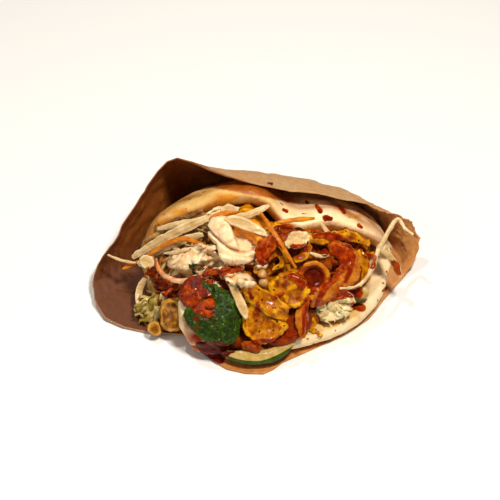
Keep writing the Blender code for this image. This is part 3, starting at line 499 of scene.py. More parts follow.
def all_finishes():
    """Every finish of the sandwich, by slot."""
    return {
        # Unbleached kraft paper, pressed: dull brown with drawn-out fibres, darker where greased and
        # where painted shade lies on the inner flap, paler on its outer side with painted sheen.
        "kraft_paper": make_finish(
            "kraft_paper_pressed", ("b0681e", "c47a30", "d08a42"), 4.0, 0.75, 0.30, 1.1,
            (1.0, 0.75, 0.9), layers=(("greased", "7e4008", "8a4c0c", 0.6, 0.45),
                                      ("soaked", "582a02", "643004", 0.6, 0.45),
                                      ("sheen", "b28650", "c09868", 0.7, 0.40),
                                      ("sauce", "3a0a00", "701c04", 0.15, 0.12))),
        # Leavened white bread baked in a hot oven: matt, floury skin with browned blisters; the
        # floury colour is also painted light on the far end, and the shade layer is painted shade.
        "pita_bread": make_finish(
            "pita_bread_baked", ("cf9c48", "dcb066", "e8c480"), 13.0, 0.7, 0.22, 0.9,
            layers=(("flour", "f8d296", "fee6ba", 0.75, 0.45),
                    ("crust", "8c420a", "b26018", 0.34, 0.40),
                    ("toast", "b4640a", "d88e24", 0.6, 0.30),
                    ("shade", "84440e", "ac6a26", 0.5, 0.45),
                    SAUCE), shader={"Specular IOR Level": 0.2}),
        # Chicken thigh roasted with turmeric: oily yellow skin, darker flesh, cracked pepper, and
        # juice with painted shade in the gaps.
        "roast_chicken": make_finish(
            "chicken_thigh_roasted", ("702402", "a85c04", "d08608"), 4.2, 0.30, 0.30, 0.9,
            (1.0, 1.0, 0.5), layers=(("edge", "d08604", "eaa814", 0.32, 0.35),
                                     ("hollow", "400c00", "742a04", 0.25, 0.40), SAUCE),
            specks=("140a04", 4.0, 1.5), shader=OILED),
        # Barbecue sauce, boiled down: a thick clear-brown gloss over the meat.
        "barbecue_sauce": make_finish(
            "barbecue_sauce_reduced", ("540b00", "861f00", "b84a04"), 5.0, 0.12, 0.10, 1.1,
            layers=(("edge", "983400", "c06208", 0.16, 0.40),
                    ("deep", "400600", "701a02", 0.10, 0.35),
                    ("thin", "a8500a", "d08420", 0.20, 0.30)), shader=WET),
        # White cabbage, shredded raw: cream with faint green veins, a little see-through, with
        # painted shade in the gaps between the shreds.
        "cabbage": make_finish(
            "white_cabbage_shredded", ("ac8448", "c8a064", "dcbc84"), 7.0, 0.38, 0.12, 0.9,
            (0.5, 1.0, 1.0), layers=(("edge", "dcc08c", "ead4a8", 0.35, 0.45),
                                     ("tone", "986628", "bc8c48", 0.4, 0.45),
                                     ("hollow", "4a2206", "7c4a18", 0.4, 0.40), SAUCE),
            shader=MOIST),
        # Carrot, cut raw: saturated orange with a paler core line, and a painted-light layer that
        # brightens the shaded chunk.
        "carrot": make_finish(
            "carrot_raw_cut", ("a04a02", "c06a08", "d88a18"), 4.0, 0.36, 0.15, 0.8,
            (0.5, 1.0, 1.0), layers=(("pale", "d89468", "f0c49c", 0.34, 0.45),
                                     ("bright", "dc7808", "ffb034", 0.3, 0.45), SAUCE),
            shader=MOIST),
        # Garlic sauce, whipped: opaque ivory with soft gloss; its stain colour also paints shade
        # along the crease and the curl.
        "garlic_sauce": make_finish(
            "garlic_sauce_whipped", ("dcb67c", "ecce9e", "f6e0ba"), 9.0, 0.28, 0.08, 1.5,
            layers=(("stain", "a83c06", "dc8030", 0.25, 0.35),), shader=MOIST),
        # Egg white, boiled: smooth, opaque and moist.
        "egg_white": make_finish(
            "egg_white_boiled", ("dcbc80", "ecd4a4", "f4e2bc"), 14.0, 0.26, 0.04, 1.2,
            layers=(("stain", "982c04", "d06824", 0.2, 0.35),), shader=MOIST),
        # Green herbs pounded with oil: coarse dark paste with wet glints.
        "herb_sauce": make_finish(
            "herb_sauce_pounded", ("101c00", "1e3000", "344804"), 2.4, 0.32, 0.45, 0.9,
            layers=(("edge", "243e00", "3c5a04", 0.34, 0.45),
                    ("stain", "4a1402", "782a08", 0.2, 0.35)), shader=WET, beaded=True),
        # Chili ground with tomato: translucent red pulp.
        "chili_sauce": make_finish(
            "chili_sauce_ground", ("340600", "661200", "902804"), 3.5, 0.16, 0.30, 1.1,
            layers=(("edge", "3c0e00", "642006", 0.2, 0.45),
                    ("thin", "942a02", "c65012", 0.2, 0.40)),
            specks=("e0a060", 3.2, 1.1), shader=WET, beaded=True),
        # Tomato, sliced raw: wet deep red.
        "tomato": make_finish(
            "tomato_raw_sliced", ("5c1200", "7c2604", "9c4210"), 8.0, 0.14, 0.10, 1.5,
            layers=(SAUCE,), shader=WET),
        # Cucumber, sliced raw: pale wet flesh inside a dark waxy skin.
        "cucumber": make_finish(
            "cucumber_raw_sliced", ("a08038", "ba9850", "ccac6a"), 6.0, 0.30, 0.08, 1.0,
            layers=(("skin", "1c2e00", "3c5602", 0.3, 0.20), SAUCE), shader=MOIST),
        # Lettuce leaf, torn raw: thin, pale yellow-green and crinkled.
        "lettuce": make_finish(
            "lettuce_raw_leaf", ("62500c", "94781e", "bc9c44"), 5.0, 0.38, 0.15, 0.9,
            layers=(("edge", "ac9440", "ccb470", 0.4, 0.40),
                    ("rib", "e0c07c", "fce8b8", 0.34, 0.45), SAUCE), shader=MOIST),
        # Potato, fried and oiled: amber crust with pale worn edges.
        "fried_potato": make_finish(
            "potato_fried", ("442002", "7c4408", "b07a20"), 6.0, 0.30, 0.25, 1.1,
            layers=(("edge", "a8701c", "d8a044", 0.3, 0.40), SAUCE), shader=WET),
        # Chickpea, boiled: matt pale tan.
        "chickpea": make_finish(
            "chickpea_boiled", ("8c5a20", "b88444", "dcac70"), 3.0, 0.40, 0.10, 0.8,
            layers=(SAUCE,), shader=MOIST),
    }


FINISHES = all_finishes()

# Where barbecue sauce lies on the filling: u, w, radius along u, radius along w.
SAUCE_SPOTS = (
    (4, 12, 9, 11), (14, 20, 9, 7), (23, 10, 10, 8), (40, 25, 14, 5), (28, 24, 8, 5),
    (15, -8, 10, 7), (35, -7, 14, 13), (52, 2, 14, 14), (60, -8, 12, 16), (40, 14, 16, 8),
    (28, -36, 6, 16), (30, -22, 12, 7), (-36, -55, 16, 6), (-12, -54, 22, 4), (12, -53, 14, 4),
    (-62, -15, 15, 8), (-78, 0, 10, 7), (-3, -31, 5, 6), (72, -16, 9, 6), (90, -1, 9, 8),
    (80, 2, 6, 10), (64, 20, 10, 6),
)


def sauce_at(points, seed=3.0):
    """How much barbecue sauce lies at each point, 0 to 1."""
    u, w, _ = in_mouth(points)
    away = nearest(u, w, SAUCE_SPOTS)
    found = 0.85 * np.exp(-1.3 * away * away)
    return np.clip(found + 0.6 * waves(points, 5.0, seed), 0.0, 1.0)


# Deep gaps between the pieces, painted darker as shade where little light gets in; on the chicken
# the dark also stands for juice that collects there.
HOLLOWS = (
    (40, 4, 8, 9), (24, 29, 14, 4), (52, 25, 14, 4), (12, 5, 5, 5), (-8, -14, 5, 4),
    (-71, -18, 9, 7), (-60, 33, 10, 3.5), (-46, 38, 10, 3.5), (-34, 42, 8, 3.5),
)


def hollow_at(points):
    """How deep in a gap each point lies, 0 to 1: the amount of painted shade."""
    u, w, _ = in_mouth(points)
    return np.exp(-nearest(u, w, HOLLOWS))


# ------------------------------------------------------------------ settings

class PitaStageSettings(bpy.types.PropertyGroup):
    distance: FloatProperty(name="Camera distance", description="From the mouth to the lens",
                            default=1.902, unit="LENGTH")
    elevation: FloatProperty(name="Camera elevation", description="Above the horizon",
                             default=math.radians(48.0), subtype="ANGLE")
    key: FloatProperty(name="Key light", description="Power of the large lamp behind the right",
                       default=11.0, unit="POWER")
    fill: FloatProperty(name="Fill light", description="Power of the lamp at the front left",
                        default=1.9, unit="POWER")
    sky: FloatProperty(name="Sky", description="Strength of the even pale surroundings",
                       default=0.14)
    floor: colour_prop("Floor", "Colour of the floor", "f0eeea")


class PitaFillingSettings(bpy.types.PropertyGroup):
    grid: FloatProperty(name="Food grid", description="Mesh size of the dressed food, in mm",
                        default=0.55)
    sauce_depth: FloatProperty(name="Sauce depth", description="Thickness of the glaze, in mm",
                               default=0.55)
    shred_spacing: FloatProperty(name="Shred spacing", description="Between slaw shreds",
                                 default=0.0060, unit="LENGTH")
    scrap_spacing: FloatProperty(name="Scrap spacing", description="Between chicken scraps",
                                 default=0.0052, unit="LENGTH")
    seed: IntProperty(name="Seed", description="Order of the scattered pieces", default=4)


class PitaBreadSettings(bpy.types.PropertyGroup):
    grid: FloatProperty(name="Bread grid", description="Mesh size of the bread, in mm",
                        default=1.25)
    puff: FloatProperty(name="Puff", description="Depth of the broad unevenness, in mm",
                        default=0.9)


# ------------------------------------------------------------------ operators

def dress(node, slot, lump=0.4, lump_size=6.0, fibre=0.15, sauce=1.0, grid=None, rounds=4,
          stretch=(1.0, 1.0, 1.0), seed=0.0, fold=0.0, ragged=0.0):
    """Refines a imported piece: lumps, fibres, worn edges and the sauce that runs over it.

    lump, fibre, fold and ragged are heights and lump_size and grid widths in millimetres, rounds
    how often the grid is softened, stretch the run of the fibres, and sauce how much it takes.
    """
    settings = bpy.context.scene.pita_filling
    piece = copy_of(node, grid or settings.grid, rounds)
    mesh = piece.data
    points = points_of(mesh)
    edge = ridges(mesh)
    heights = lump * waves(points, lump_size, seed)
    heights += 0.35 * lump * waves(points, lump_size / 2.7, seed + 2)
    heights += fibre * waves(points, 1.6, seed + 5, stretch)
    heights += ragged * waves(points, 3.4, seed + 3) * (0.25 + 0.75 * np.clip(edge, 0, 1))
    if fold:
        crest = 0.55 - 1.8 * np.abs(waves(points, 11.0, seed + 7))
        heights += fold * crest
        edge = np.clip(0.6 * edge + 0.7 * crest, -1.0, 1.0)
    move_out(mesh, heights)
    cover = np.clip(sauce * sauce_at(points) - 0.25 * np.clip(edge, 0, 1), 0.0, 1.0)
    patchy = 0.95 + 0.9 * waves(points, 5.0, seed + 9)
    note(mesh, "edge", np.clip(edge * 1.4, 0.0, 1.0) * np.clip(patchy, 0.0, 1.0))
    note(mesh, "sauce", cover)
    if node.endswith("_heap"):
        # Painted shade in the gaps of the heap.
        note(mesh, "hollow", hollow_at(points))
    if sauce:
        glaze = step(neighbour_mean(mesh, cover, 2), 0.35, 0.8)
        move_out(mesh, settings.sauce_depth * glaze)
    return settle(piece, FINISHES[slot], slot, node)


class PITA_OT_paper(bpy.types.Operator):
    """Crumpled kraft-paper pocket"""
    bl_idname = "pita.paper"
    bl_label = "Paper pocket"

    def execute(self, context):
        piece = copy_of("paper_wrap")
        fine = piece.modifiers.new("Fine", "SUBSURF")
        fine.subdivision_type = "SIMPLE"
        fine.levels = fine.render_levels = 3
        mesh = plain(piece)
        points = points_of(mesh)
        u, w, _ = in_mouth(points)
        free = step(points[:, 2] / MM, 1.5, 14.0)
        crease = 2.2 * np.abs(waves(points, 30.0, 3.0)) + 1.6 * np.abs(waves(points, 13.0, 8.0))
        wrinkle = 0.6 * np.abs(waves(points, 6.0, 1.0, (1.0, 0.6, 1.0)))
        right = step(u, 62.0, 92.0)
        bend = free * (0.9 * crease + wrinkle * (0.5 + 1.6 * right)) * (1.0 + 1.2 * right)
        facet = crumple(points, 26.0, 1.0)
        bend += free * (1.6 * (facet - 0.7)
                        + (0.5 + 1.2 * right) * (crumple(points, 11.0, 4.0) - 0.6))
        bend = np.maximum(bend, 0.0)
        way = np.stack([points[:, 0], points[:, 1] - 0.01, 0.02 + 0 * u], axis=1)
        way /= np.linalg.norm(way, axis=1)[:, None]
        place_points(mesh, points - way * (bend * MM)[:, None])
        # Dark inside at the left, under a slanting line, and less so low at the front: grease on the
        # paper together with painted shade on the inner flap.
        line = 71.2 - 0.404 * (u + 39.7) - w
        low = way - np.array((0.0, 0.0, 0.75))
        inner = 1 - step((normals_of(mesh) * low).sum(axis=1), -0.15, 0.15)
        dark = inner * (1 - step(u, -12.0, 2.0)) * step(line, -0.8, 0.8)
        front = step(-w, 34.0, 52.0) * step(u, -62.0, -46.0)
        dark *= 1 - 0.75 * front
        # A thin dark line along a fold of the paper: painted shade in the crease.
        fold = np.exp(-((w - 50.0 + 0.19 * (u - 25.0)) / 0.8) ** 2) * step(u, 14.0, 24.0)
        note(mesh, "greased", np.clip(dark + 0.2 * waves(points, 18.0, 5.0) + 0.5 * fold, 0, 1))
        # Darker still low on the left of the inner flap: painted shade, besides grease.
        note(mesh, "soaked", inner * step(-u, 52.0, 72.0) * step(-w, -34.0, 0.0))
        # Paler where the outer side of the paper shows, plus painted sheen: brighter in the middle
        # of the crumple facets and darker along their creases.
        note(mesh, "sheen", (1 - dark) * (1 - 0.5 * right) * (1 - front) * (0.65 + 0.4 * facet))
        note(mesh, "sauce", step(1.0 - nearest(u, w, ((-34, -57, 15, 8),))
                                 + 0.5 * waves(points, 5.0, 2.0), 0.1, 0.5))
        settle(piece, FINISHES["kraft_paper"], "kraft_paper", "paper_wrap")
        return {"FINISHED"}


# Toasted patches and drops of sauce on the bread: u, w and their two radii.
BROWNED = ((-58, 39, 9, 3), (-70, 31, 6, 4), (-27, 49, 11, 3), (66, 36, 8, 2))
SPILLED = ((98, -8, 3, 4), (88, -16, 4, 3), (62, -27, 5, 3))


class PITA_OT_bread(bpy.types.Operator):
    """Pita bread with its pale rim, browned crown and floury face"""
    bl_idname = "pita.bread"
    bl_label = "Pita bread"

    def execute(self, context):
        settings = context.scene.pita_bread
        piece = copy_of("pita", settings.grid, 5)
        mesh = piece.data
        points = points_of(mesh)
        u, w, d = in_mouth(points)
        heights = settings.puff * waves(points, 24.0, 2.0) + 0.35 * waves(points, 8.0, 4.0)
        heights += 0.12 * waves(points, 2.4, 6.0)
        move_out(mesh, heights)
        faces_out, faces_up = facing(mesh, OUT), facing(mesh, UP)
        top = step(w, 8.0, 18.0)
        broad = waves(points, 14.0, 9.0)
        # The dark crown lies along the middle of the upper lip, above a slanting line.
        crown = step(w - (48.8 - 0.18 * u), -1.0, 1.2) * step(u, -44.0, -30.0)
        crown *= 1 - step(u, 14.5, 16.5)
        back = step(-d, 14.0, 30.0) * step(points[:, 2] / MM, 12.0, 30.0)
        note(mesh, "crust", np.clip(np.maximum(crown, back * (0.5 + 0.7 * broad)), 0.0, 1.0))
        # Pale floury skin where the upper lip's right part and the lower rim face out; the far right
        # end gets the same colour as painted light on an end that lies in shade.
        right_face = top * step(u, 2.0, 20.0) * step(faces_out + faces_up, -0.1, 0.4)
        bottom_rim = (1 - top) * step(faces_out - faces_up, 0.5, 1.1)
        far_end = step(u, 62.0, 78.0) * step(faces_out, -0.3, 0.2)
        bottom_rim = np.maximum(bottom_rim, far_end)
        note(mesh, "flour", np.clip(np.maximum(right_face, bottom_rim), 0.0, 1.0))
        under = top * step(-faces_up, -0.35, 0.3)
        browned = np.exp(-nearest(u, w, BROWNED))
        note(mesh, "toast", np.clip(under * (1 - step(u, -30.0, -8.0)) * (0.8 + 0.9 * broad)
                                    + 0.8 * (1 - top) * step(broad, 0.2, 0.5)
                                    * (1 - bottom_rim) + 0.75 * browned, 0.0, 1.0))
        # A slanting line of shade at the left, under the upper lip.
        gap = np.exp(-((w - 30.5 - 0.345 * (u + 66.4)) / 2.8) ** 2)
        gap *= step(-u, 24.0, 36.0) * (1 - step(-u, 72.0, 80.0))
        note(mesh, "shade", np.maximum(0.95 * under * step(u, -26.0, 0.0), gap))
        spill = np.maximum(1.0 - nearest(u, w, SPILLED), 0.0)
        inside = step(np.exp(-((w + 50) / 9.0) ** 2) * (1 - step(u, 17.0, 25.0))
                      + 0.4 * waves(points, 7.0, 1.0), 0.4, 0.7) * (1 - top)
        note(mesh, "sauce", np.maximum(step(spill + 0.6 * waves(points, 4.0, 5.0), 0.2, 0.5),
                                       inside))
        settle(piece, FINISHES["pita_bread"], "pita_bread", "pita")
        return {"FINISHED"}


SLAW = (
    "cabbage_curve", "cabbage_flat", "cabbage_hook", "cabbage_leaf", "cabbage_rib",
    "cabbage_strip_1", "cabbage_strip_2", "cabbage_strip_3", "cabbage_thread", "white_rib",
    "onion_stub", "radish_thread", "onion_strand_1", "onion_strand_2", "onion_pearl", "sprout",
    "sprout_knot", "sauced_sprout",
)
CARROTS = ("carrot_stick", "carrot_arc", "carrot_top", "carrot_strip", "carrot_tip",
           "carrot_chunk", "onion_ring")


SHRED_GRID, HEAP_GRID = 0.45, 0.8  # mesh sizes in mm
ALONG_U = (0.35, 1.0, 1.0)  # fibres drawn out along the mouth
SHRED_WAY = (1.0, 0.15, 0.35)  # the way that most shreds point


class PITA_OT_slaw(bpy.types.Operator):
    """Shredded cabbage, onion, sprouts and carrot"""
    bl_idname = "pita.slaw"
    bl_label = "Slaw"

    def execute(self, context):
        shredded = {"grid": SHRED_GRID, "stretch": ALONG_U}
        for i, node in enumerate(SLAW):
            dress(node, "cabbage", lump=0.9 if node in ("onion_stub", "onion_pearl") else 0.3,
                  lump_size=5.0, fibre=0.12, sauce=0.9 if node == "sauced_sprout" else 0.35,
                  rounds=3, seed=i, **shredded,
                  ragged=1.8 if node in ("cabbage_flat", "cabbage_leaf") else 0.5)
            self.tone(node, 0.0)
        leaf = bpy.data.objects["cabbage_leaf_dressed"].data
        move_out(leaf, 2.4 * crumple(points_of(leaf), 9.0, 2.0) - 1.0)
        for i, node in enumerate(CARROTS):
            chunk = node == "carrot_chunk"
            cut = dress(node, "carrot", lump=0.25, lump_size=4.0, fibre=0.12,
                        sauce=0.0 if chunk else 0.4, rounds=2, seed=20 + i, **shredded)
            u = in_mouth(points_of(cut.data))[0]
            pale = step(u, -78.0, -54.0) if node == "onion_ring" else 0.0 * u
            note(cut.data, "pale", pale)
            # The chunk lies in shade, so a brighter orange is painted on it as painted light.
            note(cut.data, "bright", 0.9 * chunk + 0.0 * u)
            if chunk:
                points = points_of(cut.data)
                rise = (points - points.mean(axis=0)) @ np.array(UP)
                taller = points + np.outer(0.5 * rise, UP)
                place_points(cut.data, taller)
                move_out(cut.data, 1.2 + 1.6 * crumple(taller, 8.0, 3.0))
        dress("cabbage_tuft", "cabbage", lump=0.3, lump_size=4.0, fibre=0.2, sauce=0.2, rounds=3,
              seed=40, **shredded)
        self.tone("cabbage_tuft", 0.25)
        dress("slaw_heap", "cabbage", lump=0.8, fibre=0.3, sauce=0.9, grid=HEAP_GRID, rounds=2,
              stretch=ALONG_U, seed=41)
        # The heap's core is painted dark: painted shade in the gaps between the shreds laid over it.
        self.tone("slaw_heap", 0.9)
        settings = context.scene.pita_filling
        for node, spacing, length in (("slaw_heap", settings.shred_spacing, 0.026),
                                      ("cabbage_tuft", 0.8 * settings.shred_spacing, 0.016)):
            host = bpy.data.objects[node + "_dressed"]
            u, w, _ = in_mouth(points_of(host.data))
            under_lip = w - 43.0 + 0.0092 * (u + 30.0) ** 2
            note(host.data, "room", step(facing(host.data, OUT), -0.2, 0.2)
                 * (1 - step(under_lip, -11.0, -6.0)))
            scatter(node + "_shreds", host, node, "cabbage", spacing=spacing,
                    size=(0.0034, 0.0009, length), along=SHRED_WAY, turn=0.7,
                    bend=0.011, bend_size=0.018, seed=settings.seed)
        host = bpy.data.objects["slaw_heap_dressed"]
        scatter("carrot_shreds", host, "slaw_heap", "carrot", spacing=0.011,
                size=(0.0016, 0.0010, 0.019), along=SHRED_WAY, turn=0.8, bend=0.010,
                bend_size=0.012, seed=settings.seed + 1)
        return {"FINISHED"}

    def tone(self, node, depth):
        """Mixes paler and darker leaf; depth is how dark it is on the whole, and on the slaw heap's
        core that darkness is painted shade.
        """
        mesh = bpy.data.objects[node + "_dressed"].data
        points = points_of(mesh)
        note(mesh, "tone", np.clip(depth + 0.5 * waves(points, 9.0, 2.0), 0.0, 1.0))


# Height of the lumps in mm, and how much sauce runs over the piece.
ROAST = {
    "chicken_front": (0.9, 0.6), "chicken_middle": (0.8, 0.8), "chicken_flap": (0.8, 0.5),
    "chicken_roll": (0.5, 0.7), "chicken_ring": (0.5, 0.9), "chicken_long": (0.6, 0.6),
    "chicken_edge": (0.5, 0.4), "chicken_scrap": (0.6, 1.3), "chicken_heap": (1.0, 1.5),
}
GLAZED = {
    "chicken_curl": (0.3, 0.0), "chicken_glazed": (1.2, 0.0), "chicken_drip": (0.5, 0.0),
    "sauced_scrap": (0.5, 0.0), "sauced_flake": (0.3, 0.0),
}


class PITA_OT_chicken(bpy.types.Operator):
    """Roast chicken in ribbons and scraps, some of it glazed"""
    bl_idname = "pita.chicken"
    bl_label = "Roast chicken"

    def execute(self, context):
        for i, (node, (lump, sauce)) in enumerate({**ROAST, **GLAZED}.items()):
            slot = "roast_chicken" if node in ROAST else "barbecue_sauce"
            grid = HEAP_GRID if node == "chicken_heap" else 0.5
            fold = 2.0 * lump if node in ROAST else 0.8 * lump
            dress(node, slot, lump=0.6 * lump, lump_size=8.0, fibre=0.1, sauce=sauce, grid=grid,
                  rounds=3, stretch=(1.0, 0.4, 1.0), seed=60 + i, fold=fold, ragged=1.5 * lump)
        self.hollow_curl(bpy.data.objects["chicken_curl_dressed"].data)
        for node in ("chicken_glazed", "chicken_drip", "sauced_scrap"):
            mesh = bpy.data.objects[node + "_dressed"].data
            note(mesh, "thin", 0.7 + 0.7 * waves(points_of(mesh), 8.0, 6.0))
        settings = context.scene.pita_filling
        host = bpy.data.objects["chicken_heap_dressed"]
        self.sink_top(host.data)
        _, w, _ = in_mouth(points_of(host.data))
        note(host.data, "room", step(facing(host.data, OUT), -0.2, 0.2)
             * (1 - step(w, 24.0, 28.0)))
        scatter("chicken_scraps", host, "chicken_heap", "roast_chicken", False,
                spacing=settings.scrap_spacing, size=(0.0062, 0.0034, 0.0100),
                along=(1.0, 0.1, 0.6), turn=1.4, bend=0.006, bend_size=0.004,
                seed=settings.seed + 2)
        return {"FINISHED"}

    def hollow_curl(self, mesh):
        """The rolled slice: a thin browned rim round a cup full of sauce."""
        u, w, _ = in_mouth(points_of(mesh))
        away = np.hypot((u - 35.0) / 11.4, (w + 7.0) / 11.4)
        away += 0.12 * waves(points_of(mesh), 7.0, 3.0)
        rim = step(away, 0.70, 0.86)
        upper = step(0.8 * (u - 35.0) + 0.6 * (w + 7.0), -7.0, 3.0)
        move_out(mesh, rim * (1.6 * upper - 1.2) - 1.6 * (1 - step(away, 0.35, 0.75)))
        note(mesh, "deep", (1 - step(away, 0.50, 0.78)) * (0.55 + 0.35 * upper))
        note(mesh, "thin", 0.8 * rim * upper)

    def sink_top(self, mesh):
        """The heap falls back under the upper lip of the bread."""
        points = points_of(mesh)
        u, w, d = in_mouth(points)
        depth = 15.0 * step(w, 22.0, 34.0) * step(u, -6.0, 6.0) * step(d, -40.0, -20.0)
        moved = points - np.outer(depth * MM, np.array(OUT) + 0.4 * np.array(UP))
        over = np.clip(w - 38.0, 0.0, 30.0) * step(u, -6.0, 6.0)
        moved -= np.outer(over * MM, np.array(UP))
        moved[:, 2] = np.maximum(moved[:, 2], 0.5 * MM)
        place_points(mesh, moved)


class PITA_OT_vegetables(bpy.types.Operator):
    """Tomato, cucumber, lettuce, potato, pickle and chickpeas"""
    bl_idname = "pita.vegetables"
    bl_label = "Vegetables"

    def execute(self, context):
        dress("tomato_slice", "tomato", lump=0.3, lump_size=9.0, fibre=0.05, sauce=0.15, seed=80)
        for i, node in enumerate(("lettuce_left", "lettuce_right")):
            leaf = dress(node, "lettuce", lump=0.7, lump_size=4.0, fibre=0.2, sauce=0.3, grid=0.5,
                         rounds=2, seed=82 + i)
            note(leaf.data, "room", step(facing(leaf.data, OUT), 0.0, 0.3))
            pale = (0.1, 0.85)[i] + (0.8, 0.4)[i] * waves(points_of(leaf.data), 7.0, 4.0)
            note(leaf.data, "rib", pale)
            scatter(node + "_shreds", leaf, node, "lettuce", spacing=0.0045,
                    size=(0.0052, 0.0006, 0.012), along=(0.6, 0.2, 0.6), turn=1.2, bend=0.009,
                    bend_size=0.007, seed=7 + i)
        for i, node in enumerate(("potato_1", "potato_2")):
            dress(node, "fried_potato", lump=0.5, lump_size=5.0, sauce=0.4, seed=84 + i)
        for i, node in enumerate(("chickpea_1", "chickpea_2")):
            dress(node, "chickpea", lump=0.2, lump_size=4.0, fibre=0.05, sauce=0.3, grid=0.4,
                  seed=86 + i)
        for node in ("cucumber_slice", "pickle"):
            self.mark_skin(dress(node, "cucumber", lump=0.15, fibre=0.05, sauce=0.3, grid=0.5,
                                 rounds=2, seed=88))
        return {"FINISHED"}

    def mark_skin(self, piece):
        """The skin follows the outer arc of the slice."""
        u, w, _ = in_mouth(points_of(piece.data))
        if piece.name.startswith("pickle"):
            skin = step(-w, 20.0, 22.0)
        else:
            radius = 48.4 - 2.2 * step(u, -4.0, 18.0)
            skin = step(np.hypot(u + 5.0, w + 14.5), radius, radius + 0.9)
        note(piece.data, "skin", skin)


class PITA_OT_sauces(bpy.types.Operator):
    """Egg, garlic sauce, herb sauce and chili sauce"""
    bl_idname = "pita.sauces"
    bl_label = "Egg and sauces"

    def execute(self, context):
        egg = dress("egg_half", "egg_white", lump=0.25, lump_size=12.0, fibre=0.0, sauce=0.0,
                    grid=0.8, seed=90)
        self.swell(egg, 1.15, -3.0)
        self.stain(egg, ((-42, -48, 14, 7), (-18, -45, 6, 10), (-48, -30, 5, 14)))
        garlic = dress("garlic_sauce", "garlic_sauce", lump=0.5, lump_size=7.0, fibre=0.05,
                       sauce=0.0, grid=0.6, seed=91)
        self.stain(garlic, ((-20, -1, 14, 3.5), (-8, 1, 8, 5)))
        self.crease(garlic)
        herb = dress("green_sauce", "herb_sauce", lump=0.55, lump_size=3.4, fibre=0.3, sauce=0.0,
                     grid=0.5, rounds=2, seed=92)
        self.swell(herb, 0.95)
        self.stain(herb, ((-46, -37, 4, 5), (-38, -30, 6, 4)))
        for i, node in enumerate(("chili_sauce", "chili_streak", "chili_lump")):
            pulp = dress(node, "chili_sauce", lump=0.55, lump_size=2.8, sauce=0.0, grid=0.45,
                         rounds=3, seed=93 + i)
            thin = (0.15, 0.6, 0.85)[i]
            note(pulp.data, "thin", thin + 0.4 * waves(points_of(pulp.data), 5.0, 6.0))
        return {"FINISHED"}

    def swell(self, piece, factor, aside=0.0):
        """Widens or narrows a piece across the mouth plane, about its own middle."""
        points = points_of(piece.data)
        away = points - points.mean(axis=0)
        out = np.array(OUT)
        away -= np.outer(away @ out, out)
        place_points(piece.data,
                     points + (factor - 1) * away + np.array((aside * MM, 0.0, 0.0)))

    def crease(self, piece):
        """The upper curl of the dollop folds over a smooth lower disc."""
        u, w, _ = in_mouth(points_of(piece.data))
        line = w - 11.0 - 0.028 * (u + 15.0) ** 2 + 0.1 * (u + 15.0)
        groove = np.exp(-(line / 1.5) ** 2)
        curl = np.exp(-((np.hypot(u + 24.0, w - 23.0) - 6.0) / 1.3) ** 2) * step(line, 0.0, 2.0)
        shoulder = step(line, 0.5, 3.0) * step(u + 0.35 * (w - 20.0), -19.0, -16.5)
        move_out(piece.data, -2.4 * groove - 0.9 * curl + 1.0 * step(line, 0.0, 3.0))
        place_points(piece.data,
                     points_of(piece.data) - np.outer(15.0 * MM * shoulder, np.array(OUT)))
        # The groove and the curl take the stain colour as painted shade in the crease.
        layer = piece.data.attributes["stain"].data
        stained = np.empty(len(layer), np.float32)
        layer.foreach_get("value", stained)
        note(piece.data, "stain", np.maximum(stained, np.maximum(0.55 * groove, 0.3 * curl)))

    def stain(self, piece, spots):
        """Sauce that has sunk into the surface at these spots."""
        points = points_of(piece.data)
        u, w, _ = in_mouth(points)
        found = np.exp(-nearest(u, w, spots))
        note(piece.data, "stain", np.clip(found + 0.4 * waves(points, 5.0, 7.0), 0.0, 1.0))


# Sauces, cream and herbs as they were poured: chains of u, w, radius in millimetres.
ON_FILLING = (
    ((11, 27, 3), (18, 28, 4)), ((0, 16, 4), (1, 7, 5)), ((22, 14, 3), (29, 13, 4)),
    ((23, -7, 5), (26, -10, 4)), ((50, 12, 5), (58, 7, 6), (52, -3, 3), (44, -12, 3)),
    ((55, -18, 3), (66, -17, 4)), ((36, 23, 3), (50, 21, 3), (62, 15, 4)),
    ((-78, -4, 4), (-68, -12, 5), (-64, -18, 4)),
    ((70, 14, 3), (76, 4, 4)),
)
POOL = (((-43, -53, 3), (-38, -55, 5), (-30, -57, 6.5), (-21, -55, 3)),)
DRIPS = (
    ((-3, -23, 1), (-3, -30, 2.6)), ((-6, -50, 1.5), (6, -49, 2), (24, -44, 1.5)),
    ((37, -26, 1.5), (42, -14, 3)), ((31, -22, 3), (29, -32, 2), (28, -44, 1.2)),
    ((-9, -14, 0.9), (-7, -20, 1.6)), ((8, -20, 2), (14, -17, 1.5)),
    ((48, -22, 1.2), (56, -19, 2)),
    ((8, 20, 1.2), (12, 14, 1.5), (13, 9, 1.0)), ((63, 8, 1.5), (60, -2, 2.5), (57, -9, 1.5)),
    ((44, 16, 1.5), (43, 10, 2.5)),
)
CREAM = (
    ((-60, 4, 4), (-52, 6, 6), (-42, 7, 6.5), (-33, 6, 6), (-26, 2, 5)),
    ((-50, 10, 4), (-42, 12, 4.5), (-34, 11, 4.5)),
    ((-32, 7, 4), (-20, 4, 4), (-8, 3, 4), (1, 2, 2.5)),
    ((-26, -6, 3), (-16, -8, 5), (-8, -9, 4)),
)
CHILI = (
    ((-50, -15, 4), (-48, -21, 6), (-43, -26, 5), (-37, -30, 3)),
    ((-34, -7, 4), (-24, -1, 3.5), (-13, 1, 2.5), (-5, 1, 1.5)), ((-27, -9, 3), (-25, -12, 3)),
)
HERBS = (
    ((-49, 1, 1.8), (-45, 2, 1.4)), ((-43, -1, 1.2), (-40, 0, 1.0)), ((-47, -3, 1), (-44, -4, 1)),
    ((-40, -10, 2), (-35, -13.5, 3), (-29, -18, 3.5), (-26, -24, 4)),
    ((-52, -33, 2), (-47, -38, 3)),
)
